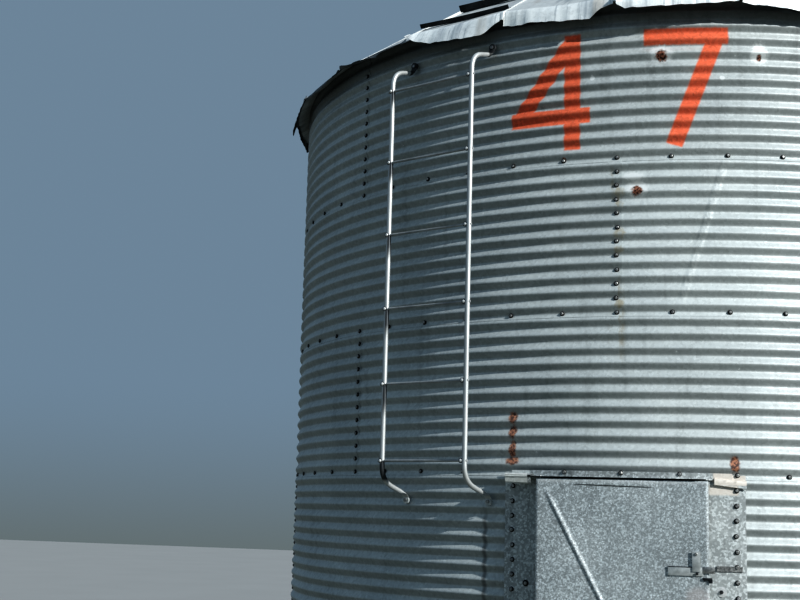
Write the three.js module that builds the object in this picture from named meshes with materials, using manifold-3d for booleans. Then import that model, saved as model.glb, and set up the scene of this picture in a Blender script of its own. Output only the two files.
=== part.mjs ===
// A farm grain silo of corrugated galvanised sheet, in millimetres, +Z up.
// The origin is the centre of the base. The door faces -Y. Azimuths are counted from -Y towards +X.
import * as THREE from 'three';
import { mergeVertices } from 'three/addons/utils/BufferGeometryUtils.js';
import Module from 'manifold-3d';

const wasm = await Module();
wasm.setup();

// Driving dimensions
const GAP = 0.3; // between pieces that touch
const PITCH = 68; // one corrugation, from crest to crest
const DEPTH = 13; // from trough to crest
const CREST_RADIUS = 2278;
const RING_PITCHES = 11;
const RING_COUNT = 5;
const TOP_EDGE_PITCHES = 0.65; // the top ring stands this far above its last bolt row
const BOLTS_ROUND = 55;
const SHEETS_ROUND = 5;
const FLOOR_THICKNESS = 5;

const ROOF_SLOPE = THREE.MathUtils.degToRad(32);
const ROOF_PANELS = 25;
const ROOF_RADIUS = 2366;
const ROOF_THICKNESS = 8;
const ROOF_HOLE_RADIUS = 250;
const RIB_WIDTH = 32;
const RIB_TOP_WIDTH = 18;
const RIB_HEIGHT = 28;
const EAVE_BREAK_RADIUS = 2300; // the panels bend down outside it
const EAVE_DROP = 24; // of the eave below the straight panel
const CAP_RADIUS = 330;
const CAP_THICKNESS = 6;

const STEP_AZIMUTH = THREE.MathUtils.degToRad(-21.6); // the middle of the panel above the ladder
const STEP_COUNT = 6;
const STEP_FIRST_RADIUS = 2200;
const STEP_SPACING = 305; // in plan
const STEP_LEG = 30;
const STEP_THICKNESS = 4;
const STEP_PAST_RIB = 10; // of each end past the middle of the rib it lies on

const DOORWAY_HALF_BOLTS = 1.5; // the wall is cut this many bolt spaces each side of its middle
const FRAME_INNER_BOLTS = 1.25;
const FRAME_OUTER_BOLTS = 2.128;
const FRAME_THICKNESS = 6;
const FRAME_RETURN_DEPTH = 44;
const FRAME_TOP = 1516;
const SILL_TOP = 48;
const LIP_THICKNESS = 4;
const LIP_CURVE_STEP = 50;
const LIP_FRONT = 2318;
const HEADER_LIP_Z = 1471;
const HEADER_LIP_LEFT = -514;
const HEADER_LIP_RIGHT = 568;
const SILL_LIP_Z = 44;
const SILL_LIP_WIDTH = 70;

const DOOR_CENTRE = 22; // the door and its frame stand this far right of the wall's middle
const DOOR_WIDTH = 774;
const DOOR_BOTTOM = 56;
const DOOR_TOP = 1464;
const DOOR_FRONT = 2310; // distance of the door's face from the silo's axis
const DOOR_DEPTH = 40;
const DOOR_SKIN = 4;
const PIVOT_INSET = 15; // of the pivot pins from the door's left edge
const PIVOT_DEPTH = 17; // of the pivot pins behind the door's face
const PIN_RADIUS = 6;
const PIN_LENGTH = 30;
const PIN_STAND = 4; // how far a pin stands out beyond its lip

const LATCH_LEFT = 232;
const LATCH_RIGHT = 386;
const LATCH_LOW = 1045;
const LATCH_HEIGHT = 42;
const LATCH_THICKNESS = 6;
const TAB_LEFT = 340;
const TAB_WIDTH = 28;
const TAB_TOP = 1150;
const HASP_WIDTH = 51;
const HASP_DEPTH = 20;
const KEEPER_INNER_BOLTS = 1.9;
const KEEPER_OUTER_BOLTS = 2.14;
const KEEPER_LOW = 1077;
const KEEPER_HEIGHT = 16;
const KEEPER_THICKNESS = 10;

const LADDER_AZIMUTH = THREE.MathUtils.degToRad(-22.25);
const LADDER_WIDTH = 497; // between the stiles' centre lines
const LADDER_RADIUS = 2448; // of the stiles' centre lines from the silo's axis
const STILE_RADIUS = 12.5;
const STILE_TOP = 3532; // where the stile's straight part meets its sloping top end
const STILE_BOTTOM = 1442;
const STILE_TOP_END = 3585;
const STILE_BOTTOM_END = 1375;
const STILE_BEND = 75;
const STILE_SIDES = 8;
const STILE_STEPS = 64;
const RUNG_COUNT = 6;
const RUNG_TOP = 3428;
const RUNG_STEP = 378;
const RUNG_RADIUS = 6.5;

// Values that follow from them
const BOLT_ANGLE = (2 * Math.PI) / BOLTS_ROUND;
const TROUGH_RADIUS = CREST_RADIUS - DEPTH;
const RING_HEIGHT = RING_PITCHES * PITCH;
const WALL_TOP = (RING_COUNT * RING_PITCHES + TOP_EDGE_PITCHES) * PITCH;
const DOOR_HEAD = 2 * RING_HEIGHT;
const PANEL_ANGLE = (2 * Math.PI) / ROOF_PANELS;
const SHEET_BOLTS = BOLTS_ROUND / SHEETS_ROUND;
const WALL_STEP = BOLT_ANGLE / 2; // the wall's facets
// The roof rests on the wall's outer edge in the middle of each flat panel, where it is lowest.
const ROOF_RISE = Math.tan(ROOF_SLOPE);
const ROOF_APEX = WALL_TOP + GAP + (CREST_RADIUS * ROOF_RISE) / Math.cos(PANEL_ANGLE / 2);
const RIB_SEAT = ROOF_THICKNESS / 2; // a rib's outline is counted from the middle of the panel
const DOOR_LEFT = DOOR_CENTRE - DOOR_WIDTH / 2;
const FRAME_CENTRE_BOLTS = DOOR_CENTRE / CREST_RADIUS / BOLT_ANGLE;
const PIVOT_X = DOOR_LEFT + PIVOT_INSET;
const PIVOT_Y = -DOOR_FRONT + PIVOT_DEPTH;

// Materials
function steel(name, color, roughness) {
  return new THREE.MeshStandardMaterial({ name, color, roughness, metalness: 0.85 });
}
const wallSteel = steel('galvanised_wall', 0xa9b1b3, 0.45);
const roofSteel = steel('galvanised_roof', 0x9ba6ab, 0.5);
const stepSteel = steel('roof_steps', 0x6f777a, 0.55);
const floorSteel = steel('bottom_plate', 0x7d8385, 0.6);
const doorSteel = steel('galvanised_door', 0x9aa3a6, 0.5);
const frameSteel = steel('door_frame', 0x8f989b, 0.5);
const latchSteel = steel('latch_steel', 0x6d6f6e, 0.55);
const ladderSteel = steel('ladder_steel', 0xc4cacc, 0.35);

// Shapes
function pointAt(azimuth, radius, z) {
  return new THREE.Vector3(radius * Math.sin(azimuth), -radius * Math.cos(azimuth), z);
}

// Sweeps a closed outline of [radius, z] points, counterclockwise, about the silo's axis.
function sweptRound(outline, azimuths) {
  const positions = [];
  const index = [];
  const count = outline.length;
  for (const azimuth of azimuths) {
    for (const [radius, z] of outline) {
      positions.push(...pointAt(azimuth, radius, z).toArray());
    }
  }
  for (let k = 0; k < azimuths.length - 1; k += 1) {
    for (let i = 0; i < count; i += 1) {
      const a = k * count + i;
      const b = k * count + ((i + 1) % count);
      index.push(a, a + count, b + count, a, b + count, b);
    }
  }
  const contour = outline.map(([radius, z]) => new THREE.Vector2(radius, z));
  const last = (azimuths.length - 1) * count;
  for (const [a, b, c] of THREE.ShapeUtils.triangulateShape(contour, [])) {
    index.push(a, b, c, last + a, last + c, last + b);
  }
  const geometry = new THREE.BufferGeometry();
  geometry.setAttribute('position', new THREE.Float32BufferAttribute(positions, 3));
  geometry.setIndex(index);
  return geometry;
}

// The azimuths from one to the other, through every multiple of the wall's facet step between them.
function facetAzimuths(from, to) {
  const azimuths = [from];
  const first = Math.floor(from / WALL_STEP + 1e-6) + 1;
  for (let k = first; k * WALL_STEP < to - 1e-6; k += 1) {
    azimuths.push(k * WALL_STEP);
  }
  azimuths.push(to);
  return azimuths;
}

function outlineBox(r0, r1, z0, z1) {
  return [[r0, z0], [r1, z0], [r1, z1], [r0, z1]];
}

function box(x0, x1, y0, y1, z0, z1) {
  const geometry = new THREE.BoxGeometry(x1 - x0, y1 - y0, z1 - z0);
  return geometry.translate((x0 + x1) / 2, (y0 + y1) / 2, (z0 + z1) / 2);
}

function uprightCylinder(x, y, z0, z1, radius, sides) {
  const geometry = new THREE.CylinderGeometry(radius, radius, z1 - z0, sides);
  return geometry.rotateX(Math.PI / 2).translate(x, y, (z0 + z1) / 2);
}

function solid(geometry) {
  const bare = geometry.clone();
  bare.deleteAttribute('normal');
  bare.deleteAttribute('uv');
  const merged = mergeVertices(bare, 1e-3);
  const vertProperties = new Float32Array(merged.attributes.position.array);
  const triVerts = new Uint32Array(merged.index.array);
  return new wasm.Manifold(new wasm.Mesh({ numProp: 3, vertProperties, triVerts }));
}

function geometryOf(body) {
  const { vertProperties, triVerts } = body.getMesh();
  const geometry = new THREE.BufferGeometry();
  geometry.setAttribute('position', new THREE.BufferAttribute(new Float32Array(vertProperties), 3));
  geometry.setIndex(new THREE.BufferAttribute(new Uint32Array(triVerts), 1));
  geometry.computeVertexNormals();
  return geometry;
}

function joined(geometries) {
  return geometries.map(solid).reduce((sum, next) => sum.add(next));
}

function named(name, geometry, material) {
  const mesh = new THREE.Mesh(geometry, material);
  mesh.name = name;
  return mesh;
}

// The wall: rings of curved sheets. Even rings have an upright seam in the wall's middle above the door,
// odd rings one six bolts to its left.
function sheet(ring, fromBolt, toBolt) {
  const bottom = ring === 1 ? FLOOR_THICKNESS + GAP : (ring - 1) * RING_HEIGHT + GAP / 2;
  const top = ring === RING_COUNT ? WALL_TOP : ring * RING_HEIGHT - GAP / 2;
  const side = GAP / 2 / CREST_RADIUS;
  const azimuths = facetAzimuths(fromBolt * BOLT_ANGLE + side, toBolt * BOLT_ANGLE - side);
  return sweptRound(outlineBox(TROUGH_RADIUS, CREST_RADIUS, bottom, top), azimuths);
}

function wallRing(ring) {
  const group = new THREE.Group();
  const firstSeam = ring % 2 === 0 ? 0 : -6;
  const add = (name, fromBolt, toBolt) => {
    group.add(named(`ring_${ring}_${name}`, sheet(ring, fromBolt, toBolt), wallSteel));
  };
  for (let k = 0; k < SHEETS_ROUND; k += 1) {
    const from = firstSeam + k * SHEET_BOLTS;
    const to = from + SHEET_BOLTS;
    const last = k === SHEETS_ROUND - 1;
    if (ring <= 2 && from < -DOORWAY_HALF_BOLTS && to > DOORWAY_HALF_BOLTS) {
      add('sheet_1_left', from, -DOORWAY_HALF_BOLTS);
      add('sheet_1_right', DOORWAY_HALF_BOLTS, to);
    } else if (ring <= 2 && from === 0) {
      add(`sheet_${k + 1}`, DOORWAY_HALF_BOLTS, to);
    } else if (ring <= 2 && last && firstSeam === 0) {
      add(`sheet_${k + 1}`, from, to - DOORWAY_HALF_BOLTS);
    } else {
      add(`sheet_${k + 1}`, from, to);
    }
  }
  return group;
}

// The bottom plate, a disc with the wall's own facets
function wallPrism(radius, z0, z1) {
  const shape = new THREE.Shape();
  for (let k = 0; k < BOLTS_ROUND * 2; k += 1) {
    const { x, y } = pointAt(k * WALL_STEP, radius, 0);
    if (k === 0) shape.moveTo(x, y);
    else shape.lineTo(x, y);
  }
  return new THREE.ExtrudeGeometry(shape, { depth: z1 - z0, bevelEnabled: false }).translate(0, 0, z0);
}

function floorPlate() {
  return named('bottom_plate', wallPrism(CREST_RADIUS, 0, FLOOR_THICKNESS), floorSteel);
}

// The roof: flat radial panels with a raised rib along each joint
function roofZ(radius, lift) {
  return ROOF_APEX - radius * ROOF_RISE + lift;
}

// A panel from the hole to the bend, and on to the lower eave
function panelOutline() {
  const bend = [ROOF_HOLE_RADIUS, EAVE_BREAK_RADIUS].map((radius) => [radius, 0]);
  const below = [...bend, [ROOF_RADIUS, -EAVE_DROP]];
  const above = below.map(([radius, lift]) => [radius, lift + ROOF_THICKNESS]).reverse();
  return [...below, ...above].map(([radius, lift]) => [radius, roofZ(radius, lift)]);
}

// A rib runs straight down its joint, wider at the foot than on top.
function roofRib(azimuth, aside) {
  const r0 = CAP_RADIUS + 10;
  const r1 = ROOF_RADIUS - 4;
  const sides = [[-RIB_WIDTH / 2, 1], [RIB_WIDTH / 2, 1]];
  const top = [[RIB_TOP_WIDTH / 2, RIB_HEIGHT], [-RIB_TOP_WIDTH / 2, RIB_HEIGHT]];
  const across = [...sides, ...top];
  const positions = [];
  for (const radius of [r0, r1]) {
    for (const [offset, lift] of across) {
      const place = pointAt(azimuth, radius, roofZ(radius, RIB_SEAT + lift));
      place.x += (offset + aside) * Math.cos(azimuth);
      place.y += (offset + aside) * Math.sin(azimuth);
      positions.push(...place.toArray());
    }
  }
  const geometry = new THREE.BufferGeometry();
  geometry.setAttribute('position', new THREE.Float32BufferAttribute(positions, 3));
  const quads = [[3, 2, 1, 0], [4, 5, 6, 7], [1, 5, 4, 0], [2, 6, 5, 1], [3, 7, 6, 2], [0, 4, 7, 3]];
  geometry.setIndex(quads.flatMap(([a, b, c, d]) => [a, b, c, a, c, d]));
  return geometry;
}

function roofSector(number) {
  const panels = ROOF_PANELS / SHEETS_ROUND;
  const side = GAP / 2 / CREST_RADIUS;
  const start = (number - 1) * panels * PANEL_ANGLE;
  const azimuths = [];
  for (let k = 0; k <= panels; k += 1) {
    azimuths.push(start + k * PANEL_ANGLE);
  }
  azimuths[0] += side;
  azimuths[panels] -= side;
  const parts = [sweptRound(panelOutline(), azimuths)];
  for (let k = 0; k < panels; k += 1) {
    // the rib on a sector's own edge stands wholly on that sector
    const aside = k === 0 ? RIB_WIDTH / 2 + 1 : 0;
    parts.push(roofRib(start + k * PANEL_ANGLE, aside));
  }
  return named(`roof_sector_${number}`, geometryOf(joined(parts)), roofSteel);
}

function roofCap() {
  const low = ROOF_THICKNESS + GAP;
  const high = low + CAP_THICKNESS;
  const profile = [[0, low], [CAP_RADIUS, low], [CAP_RADIUS, high], [0, high]];
  const points = profile.map(([radius, lift]) => new THREE.Vector2(radius, roofZ(radius, lift)));
  const cap = new THREE.LatheGeometry(points, ROOF_PANELS);
  // a lathe turns about +Y, from +Z
  cap.rotateX(Math.PI / 2);
  return named('roof_cap', cap, roofSteel);
}

// A step is an angle bar across two ribs, one leg on their tops and the other standing at its lower edge.
function roofStep(number) {
  const radius = STEP_FIRST_RADIUS - (number - 1) * STEP_SPACING;
  const slope = Math.atan(ROOF_RISE / Math.cos(PANEL_ANGLE / 2)); // of a flat panel along its middle
  // it lies on the inner edges of the two ribs' flat tops
  const innerEdge = (RIB_TOP_WIDTH / 2) * Math.sin(PANEL_ANGLE / 2) * Math.tan(slope);
  const seat = RIB_SEAT + RIB_HEIGHT + innerEdge + GAP / Math.cos(slope);
  const height = ROOF_APEX - radius * Math.tan(slope) + seat;
  const halfLength = radius * Math.tan(PANEL_ANGLE / 2) + STEP_PAST_RIB;
  const section = new THREE.Shape();
  const corners = [
    [0, 0], [0, STEP_LEG], [-STEP_THICKNESS, STEP_LEG],
    [-STEP_THICKNESS, STEP_THICKNESS], [-STEP_LEG, STEP_THICKNESS], [-STEP_LEG, 0],
  ];
  corners.forEach(([down, up], k) => (k === 0 ? section.moveTo(down, up) : section.lineTo(down, up)));
  const bar = new THREE.ExtrudeGeometry(section, { depth: 2 * halfLength, bevelEnabled: false });
  // the section's x becomes down the slope, its y away from the panel and its depth along the bar
  bar.translate(0, 0, -halfLength).rotateX(Math.PI / 2).rotateY(slope);
  bar.translate(radius, 0, height).rotateZ(STEP_AZIMUTH - Math.PI / 2);
  return named(`roof_step_${number}`, bar, stepSteel);
}

// The door frame: curved strips on the wall's crests, returns through the doorway and two lips
function frameStrip(fromBolt, toBolt, z0, z1) {
  const inner = CREST_RADIUS + GAP;
  const azimuths = facetAzimuths(fromBolt * BOLT_ANGLE, toBolt * BOLT_ANGLE);
  return sweptRound(outlineBox(inner, inner + FRAME_THICKNESS, z0, z1), azimuths);
}

function frameReturn(side) {
  const edge = (FRAME_CENTRE_BOLTS + side * FRAME_INNER_BOLTS) * BOLT_ANGLE;
  const thick = FRAME_THICKNESS / CREST_RADIUS;
  const from = side < 0 ? edge - thick : edge;
  const outer = CREST_RADIUS + GAP + 1;
  const outline = outlineBox(outer - FRAME_RETURN_DEPTH, outer, FLOOR_THICKNESS + GAP, DOOR_HEAD - GAP);
  return sweptRound(outline, [from, from + thick]);
}

// A flat lip that stands out from the frame, its back edge on the curved strip
function frameLip(x0, x1, z) {
  const shape = new THREE.Shape();
  const root = CREST_RADIUS + GAP + 2;
  const steps = Math.ceil((x1 - x0) / LIP_CURVE_STEP);
  shape.moveTo(x0, -LIP_FRONT);
  shape.lineTo(x1, -LIP_FRONT);
  for (let k = 0; k <= steps; k += 1) {
    const x = x1 + ((x0 - x1) * k) / steps;
    shape.lineTo(x, -Math.sqrt(root * root - x * x));
  }
  return new THREE.ExtrudeGeometry(shape, { depth: LIP_THICKNESS, bevelEnabled: false }).translate(0, 0, z);
}

function doorFrame() {
  const bottom = FLOOR_THICKNESS + GAP;
  const [middle, inner, outer] = [FRAME_CENTRE_BOLTS, FRAME_INNER_BOLTS, FRAME_OUTER_BOLTS];
  const across = inner + 0.1; // the strips over and under the door run on into the ones beside it
  const body = joined([
    frameStrip(middle - outer, middle - inner, bottom, FRAME_TOP),
    frameStrip(middle + inner, middle + outer, bottom, FRAME_TOP),
    frameStrip(middle - across, middle + across, HEADER_LIP_Z, FRAME_TOP),
    frameStrip(middle - across, middle + across, bottom, SILL_TOP),
    frameReturn(-1),
    frameReturn(1),
    frameLip(HEADER_LIP_LEFT, HEADER_LIP_RIGHT, HEADER_LIP_Z),
    frameLip(PIVOT_X - SILL_LIP_WIDTH / 2, PIVOT_X + SILL_LIP_WIDTH / 2, SILL_LIP_Z),
  ]);
  const holes = [HEADER_LIP_Z, SILL_LIP_Z].map((z) =>
    solid(uprightCylinder(PIVOT_X, PIVOT_Y, z - 1, z + LIP_THICKNESS + 1, PIN_RADIUS + GAP, 16)));
  const drilled = holes.reduce((rest, hole) => rest.subtract(hole), body);
  return named('door_frame', geometryOf(drilled), frameSteel);
}

function hingePin(name, z0) {
  return named(name, uprightCylinder(PIVOT_X, PIVOT_Y, z0, z0 + PIN_LENGTH, PIN_RADIUS, 16), frameSteel);
}

// The door: a shallow pan with its edges turned back towards the wall, on the two pins
function doorPanel() {
  const [left, right] = [DOOR_LEFT, DOOR_LEFT + DOOR_WIDTH];
  const back = -DOOR_FRONT + DOOR_DEPTH;
  const outside = solid(box(left, right, -DOOR_FRONT, back, DOOR_BOTTOM, DOOR_TOP));
  const inside = solid(box(left + DOOR_SKIN, right - DOOR_SKIN, -DOOR_FRONT + DOOR_SKIN, back + 1,
    DOOR_BOTTOM + DOOR_SKIN, DOOR_TOP - DOOR_SKIN));
  const bore = solid(uprightCylinder(PIVOT_X, PIVOT_Y, DOOR_BOTTOM - 1, DOOR_TOP + 1, PIN_RADIUS + GAP, 16));
  return named('door_panel', geometryOf(outside.subtract(inside).subtract(bore)), doorSteel);
}

function doorLatch() {
  const face = -DOOR_FRONT - GAP;
  const body = joined([
    box(LATCH_LEFT, LATCH_RIGHT, face - LATCH_THICKNESS, face, LATCH_LOW, LATCH_LOW + LATCH_HEIGHT),
    box(TAB_LEFT, TAB_LEFT + TAB_WIDTH, face - LATCH_THICKNESS - 3, face - 1, LATCH_LOW + 20, TAB_TOP),
    box(LATCH_RIGHT - 1, LATCH_RIGHT + HASP_WIDTH, face - LATCH_THICKNESS, face, LATCH_LOW + 4,
      LATCH_LOW + LATCH_HEIGHT - 4),
    box(LATCH_RIGHT + HASP_WIDTH - 8, LATCH_RIGHT + HASP_WIDTH, face - LATCH_THICKNESS, face + HASP_DEPTH,
      LATCH_LOW + 4, LATCH_LOW + LATCH_HEIGHT - 4),
  ]);
  return named('door_latch', geometryOf(body), latchSteel);
}

function latchKeeper() {
  const inner = CREST_RADIUS + FRAME_THICKNESS + 2 * GAP;
  const azimuths = facetAzimuths(KEEPER_INNER_BOLTS * BOLT_ANGLE, KEEPER_OUTER_BOLTS * BOLT_ANGLE);
  const outline = outlineBox(inner, inner + KEEPER_THICKNESS, KEEPER_LOW, KEEPER_LOW + KEEPER_HEIGHT);
  return named('latch_keeper', sweptRound(outline, azimuths), latchSteel);
}

// The ladder: across is along the rungs to the right, radius is out from the silo's axis
function ladderPoint(across, radius, z) {
  const place = pointAt(LADDER_AZIMUTH, radius, z);
  place.x += across * Math.cos(LADDER_AZIMUTH);
  place.y += across * Math.sin(LADDER_AZIMUTH);
  return place;
}

// A stile is one bent tube that slopes into the wall at both ends.
function stileGeometry(across, radius) {
  const wall = Math.sqrt(CREST_RADIUS ** 2 - across ** 2) - 10;
  const corners = [
    [wall, STILE_BOTTOM_END], [LADDER_RADIUS, STILE_BOTTOM],
    [LADDER_RADIUS, STILE_TOP], [wall, STILE_TOP_END],
  ].map(([r, z]) => ladderPoint(across, r, z));
  const path = new THREE.CurvePath();
  const toward = (from, to, length) => to.clone().sub(from).setLength(length).add(from);
  const bends = [1, 2].map((k) => [
    toward(corners[k], corners[k - 1], STILE_BEND), corners[k], toward(corners[k], corners[k + 1], STILE_BEND),
  ]);
  path.add(new THREE.LineCurve3(corners[0], bends[0][0]));
  path.add(new THREE.QuadraticBezierCurve3(...bends[0]));
  path.add(new THREE.LineCurve3(bends[0][2], bends[1][0]));
  path.add(new THREE.QuadraticBezierCurve3(...bends[1]));
  path.add(new THREE.LineCurve3(bends[1][2], corners[3]));
  const section = new THREE.Shape();
  for (let k = 0; k < STILE_SIDES; k += 1) {
    const angle = (2 * Math.PI * (k + 0.5)) / STILE_SIDES;
    const [x, y] = [radius * Math.cos(angle), radius * Math.sin(angle)];
    if (k === 0) section.moveTo(x, y);
    else section.lineTo(x, y);
  }
  return new THREE.ExtrudeGeometry(section, { steps: STILE_STEPS, bevelEnabled: false, extrudePath: path });
}

function ladder() {
  const group = new THREE.Group();
  const clearWall = solid(wallPrism(CREST_RADIUS + GAP, 0, WALL_TOP));
  const half = LADDER_WIDTH / 2;
  for (const [name, across] of [['left', -half], ['right', half]]) {
    const stile = solid(stileGeometry(across, STILE_RADIUS)).subtract(clearWall);
    group.add(named(`ladder_stile_${name}`, geometryOf(stile), ladderSteel));
  }
  const grown = [-half, half].map((across) => solid(stileGeometry(across, STILE_RADIUS + GAP)));
  for (let k = 0; k < RUNG_COUNT; k += 1) {
    const rod = new THREE.CylinderGeometry(RUNG_RADIUS, RUNG_RADIUS, LADDER_WIDTH - STILE_RADIUS, 8);
    const middle = ladderPoint(0, LADDER_RADIUS, RUNG_TOP - k * RUNG_STEP);
    rod.rotateZ(Math.PI / 2).rotateZ(LADDER_AZIMUTH).translate(middle.x, middle.y, middle.z);
    const rung = grown.reduce((rest, stile) => rest.subtract(stile), solid(rod));
    group.add(named(`ladder_rung_${k + 1}`, geometryOf(rung), ladderSteel));
  }
  return group;
}

const silo = new THREE.Group();
silo.name = 'grain_silo';
silo.add(floorPlate());
for (let ring = 1; ring <= RING_COUNT; ring += 1) {
  silo.add(wallRing(ring));
}
for (let number = 1; number <= SHEETS_ROUND; number += 1) {
  silo.add(roofSector(number));
}
silo.add(roofCap());
for (let number = 1; number <= STEP_COUNT; number += 1) {
  silo.add(roofStep(number));
}
silo.add(doorFrame());
silo.add(hingePin('hinge_pin_top', HEADER_LIP_Z + LIP_THICKNESS + PIN_STAND - PIN_LENGTH));
silo.add(hingePin('hinge_pin_bottom', SILL_LIP_Z - PIN_STAND));
silo.add(doorPanel());
silo.add(doorLatch());
silo.add(latchKeeper());
silo.add(ladder());

export default silo;
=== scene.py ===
import math
import random

import bmesh
import bpy
import numpy as np
from mathutils import Matrix, Vector


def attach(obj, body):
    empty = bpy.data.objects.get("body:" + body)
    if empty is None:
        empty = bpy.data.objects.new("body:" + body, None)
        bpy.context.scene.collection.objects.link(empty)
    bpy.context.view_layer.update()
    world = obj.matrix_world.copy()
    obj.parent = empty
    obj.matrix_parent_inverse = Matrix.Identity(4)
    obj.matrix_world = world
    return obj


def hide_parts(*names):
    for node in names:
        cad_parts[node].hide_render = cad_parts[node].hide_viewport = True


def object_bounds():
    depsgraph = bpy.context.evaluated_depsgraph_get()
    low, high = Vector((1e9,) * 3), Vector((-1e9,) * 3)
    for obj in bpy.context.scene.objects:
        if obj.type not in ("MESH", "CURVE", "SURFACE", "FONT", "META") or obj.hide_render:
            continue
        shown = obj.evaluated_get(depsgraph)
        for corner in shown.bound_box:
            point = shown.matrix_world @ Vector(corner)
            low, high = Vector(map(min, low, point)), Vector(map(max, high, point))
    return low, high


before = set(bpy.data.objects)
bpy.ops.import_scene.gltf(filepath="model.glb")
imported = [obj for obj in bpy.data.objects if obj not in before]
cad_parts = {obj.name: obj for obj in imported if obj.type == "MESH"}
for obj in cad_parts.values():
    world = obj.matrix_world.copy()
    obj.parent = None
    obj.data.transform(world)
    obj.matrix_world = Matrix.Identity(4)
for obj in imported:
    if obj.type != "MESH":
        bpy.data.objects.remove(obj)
cad_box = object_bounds()

UP = Vector((0, 0, 1))
TURN = 2 * math.pi

# Driving dimensions of the wall
PITCH = 0.068  # one corrugation, from crest to crest
DEPTH = 0.0165  # from trough to crest
CREST = 2.2752  # crest radius of the sheets that lie inside a lap
GAUGE = 0.0013  # thickness of a wall sheet
LAP_RISE = 0.0016  # of an outer sheet over the one under it
LAP = 0.020  # reach of a sheet past the bolts that hold it
SIDE_LAP = 0.026
DENT = 0.0016  # how far a sheet wanders in and out
RINGS = 5
RING_SHEETS = 5
RING_PITCHES = 11
WALL_TOP = 55.65 * PITCH
BOLTS_ROUND = 55
BOLT_ANGLE = TURN / BOLTS_ROUND
SHEET_BOLTS = 11
WASHER_RADIUS = 0.0118
HEAD_RADIUS = 0.0076
BOLT_SEAT = 0.0052  # of a washer's middle over the trough
DOORWAY_RINGS = 2  # the lowest rings, which the doorway cuts
DOORWAY_BOLTS = 1.5  # the wall is cut this many bolt spaces each side of its middle
FLOOR_TOP = 0.0053

# Driving dimensions of the roof
PANELS = 25
SECTORS = 5
PANEL_ANGLE = TURN / PANELS
RISE = math.tan(math.radians(32))
CAD_CREST = 2.278
APEX = WALL_TOP + 0.0003 + CAD_CREST * RISE / math.cos(PANEL_ANGLE / 2)
PANEL_SLOPE = math.atan(RISE / math.cos(PANEL_ANGLE / 2))
PANEL_LIFT = 0.005
ROOF_GAUGE = 0.0012
BREAK_RADIUS = 2.284  # the eave bends down outside it
FAR_BREAK_RADIUS = 2.338  # the same on the panels that still reach far out
FAR_REACH = 60  # past the wall's crests, in millimetres
RIB = 0.027
ROOF_STEPS = 6
STEP_RADIUS = 2.200  # distance of the lowest step from the axis
STEP_SPACING = 0.305
CAP_RADIUS = 0.329

# Driving dimensions of the doorway
DOOR_FACE = 2.310  # distance of the door's face from the silo's axis
DOOR_MIDDLE = 0.022  # the door and its frame stand this far right of the wall's middle
DOOR_HALF = 0.387
DOOR_LEFT = DOOR_MIDDLE - DOOR_HALF
DOOR_RIGHT = DOOR_MIDDLE + DOOR_HALF
DOOR_LOW = 0.056
DOOR_HIGH = 1.4640
DOOR_DEPTH = 0.040
DOOR_GAUGE = 0.0015
EDGE_ROUND = 0.0030  # how far the door's face falls back at its edges
CREASE_RISE = 0.0068
CREASE_HALF = 0.0090
HEM_RISE = 0.0022
BELLY = 0.0022
FRAME_GAUGE = 0.003
FRAME_TOP = 1.4955
HEADER_TOP = 1.5030
FRAME_RADIUS = 2.2845
FRAME_MIDDLE = DOOR_MIDDLE / CREST / BOLT_ANGLE  # in bolt spaces
LIP_HEIGHT = 1.4740
LIP_FACE = 2.317  # distance of the lip's edge from the silo's axis

# Driving dimensions of the ladder
LADDER_AZIMUTH = math.radians(-22.25)
LADDER_HALF = 0.2485
LADDER_RADIUS = 2.448
LADDER_SIDE = Vector((math.cos(LADDER_AZIMUTH), math.sin(LADDER_AZIMUTH), 0))
TUBE = 0.0124
FLAT_RUN = 0.070  # length of a stile's end that is pressed flat
ROD_RADIUS = 0.0064
NUT_RADIUS = 0.0088
RUNGS = 6
RUNG_STEP = 0.378
RUNG_HIGH = 3.428
RUNG_LOW = RUNG_HIGH - (RUNGS - 1) * RUNG_STEP

# The camera, for an image of 800 by 600, and the light
LENS = 58.17
CAMERA_PLACE = (0.7147, -8.2979, 1.2967)
CAMERA_YAW = math.radians(-16.4)
CAMERA_PITCH = math.radians(9.267)
CAMERA_ROLL = math.radians(1.571)
SUN_AZIMUTH = math.radians(65)
SUN_HEIGHT = math.radians(27)
SUN_POWER = 2.9
SKY_GLOW = (0.160, 0.212, 0.262)
FLOOR_GLOW = (0.134, 0.149, 0.138)


class Wire:
    """An output of a node tree. Arithmetic on it adds Math nodes."""

    def __init__(self, sketch, socket):
        self.sketch = sketch
        self.socket = socket

    def math(self, operation, *others):
        terms = dict(enumerate([self, *others]))
        return self.sketch.add("ShaderNodeMath", {"operation": operation}, terms)

    def after(self, operation, first):
        return self.sketch.add("ShaderNodeMath", {"operation": operation}, {0: first, 1: self})

    def __add__(self, other):
        return self.math("ADD", other)

    def __radd__(self, other):
        return self.after("ADD", other)

    def __sub__(self, other):
        return self.math("SUBTRACT", other)

    def __rsub__(self, other):
        return self.after("SUBTRACT", other)

    def __mul__(self, other):
        return self.math("MULTIPLY", other)

    def __rmul__(self, other):
        return self.after("MULTIPLY", other)

    def __truediv__(self, other):
        return self.math("DIVIDE", other)

    def __rtruediv__(self, other):
        return self.after("DIVIDE", other)

    def __mod__(self, other):
        return self.math("FLOORED_MODULO", other)

    def __neg__(self):
        return self.math("MULTIPLY", -1.0)

    def smooth(self, start, end):
        """0 before start and 1 past end, with a soft change between."""
        values = {"Value": self, "From Min": start, "From Max": end}
        return self.sketch.add("ShaderNodeMapRange", {"interpolation_type": "SMOOTHSTEP"}, values)

    def within(self, middle, half, soft):
        """1 where the value is within half of middle, fading out over soft."""
        return 1 - (self - middle).math("ABSOLUTE").smooth(half - soft, half + soft)


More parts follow.
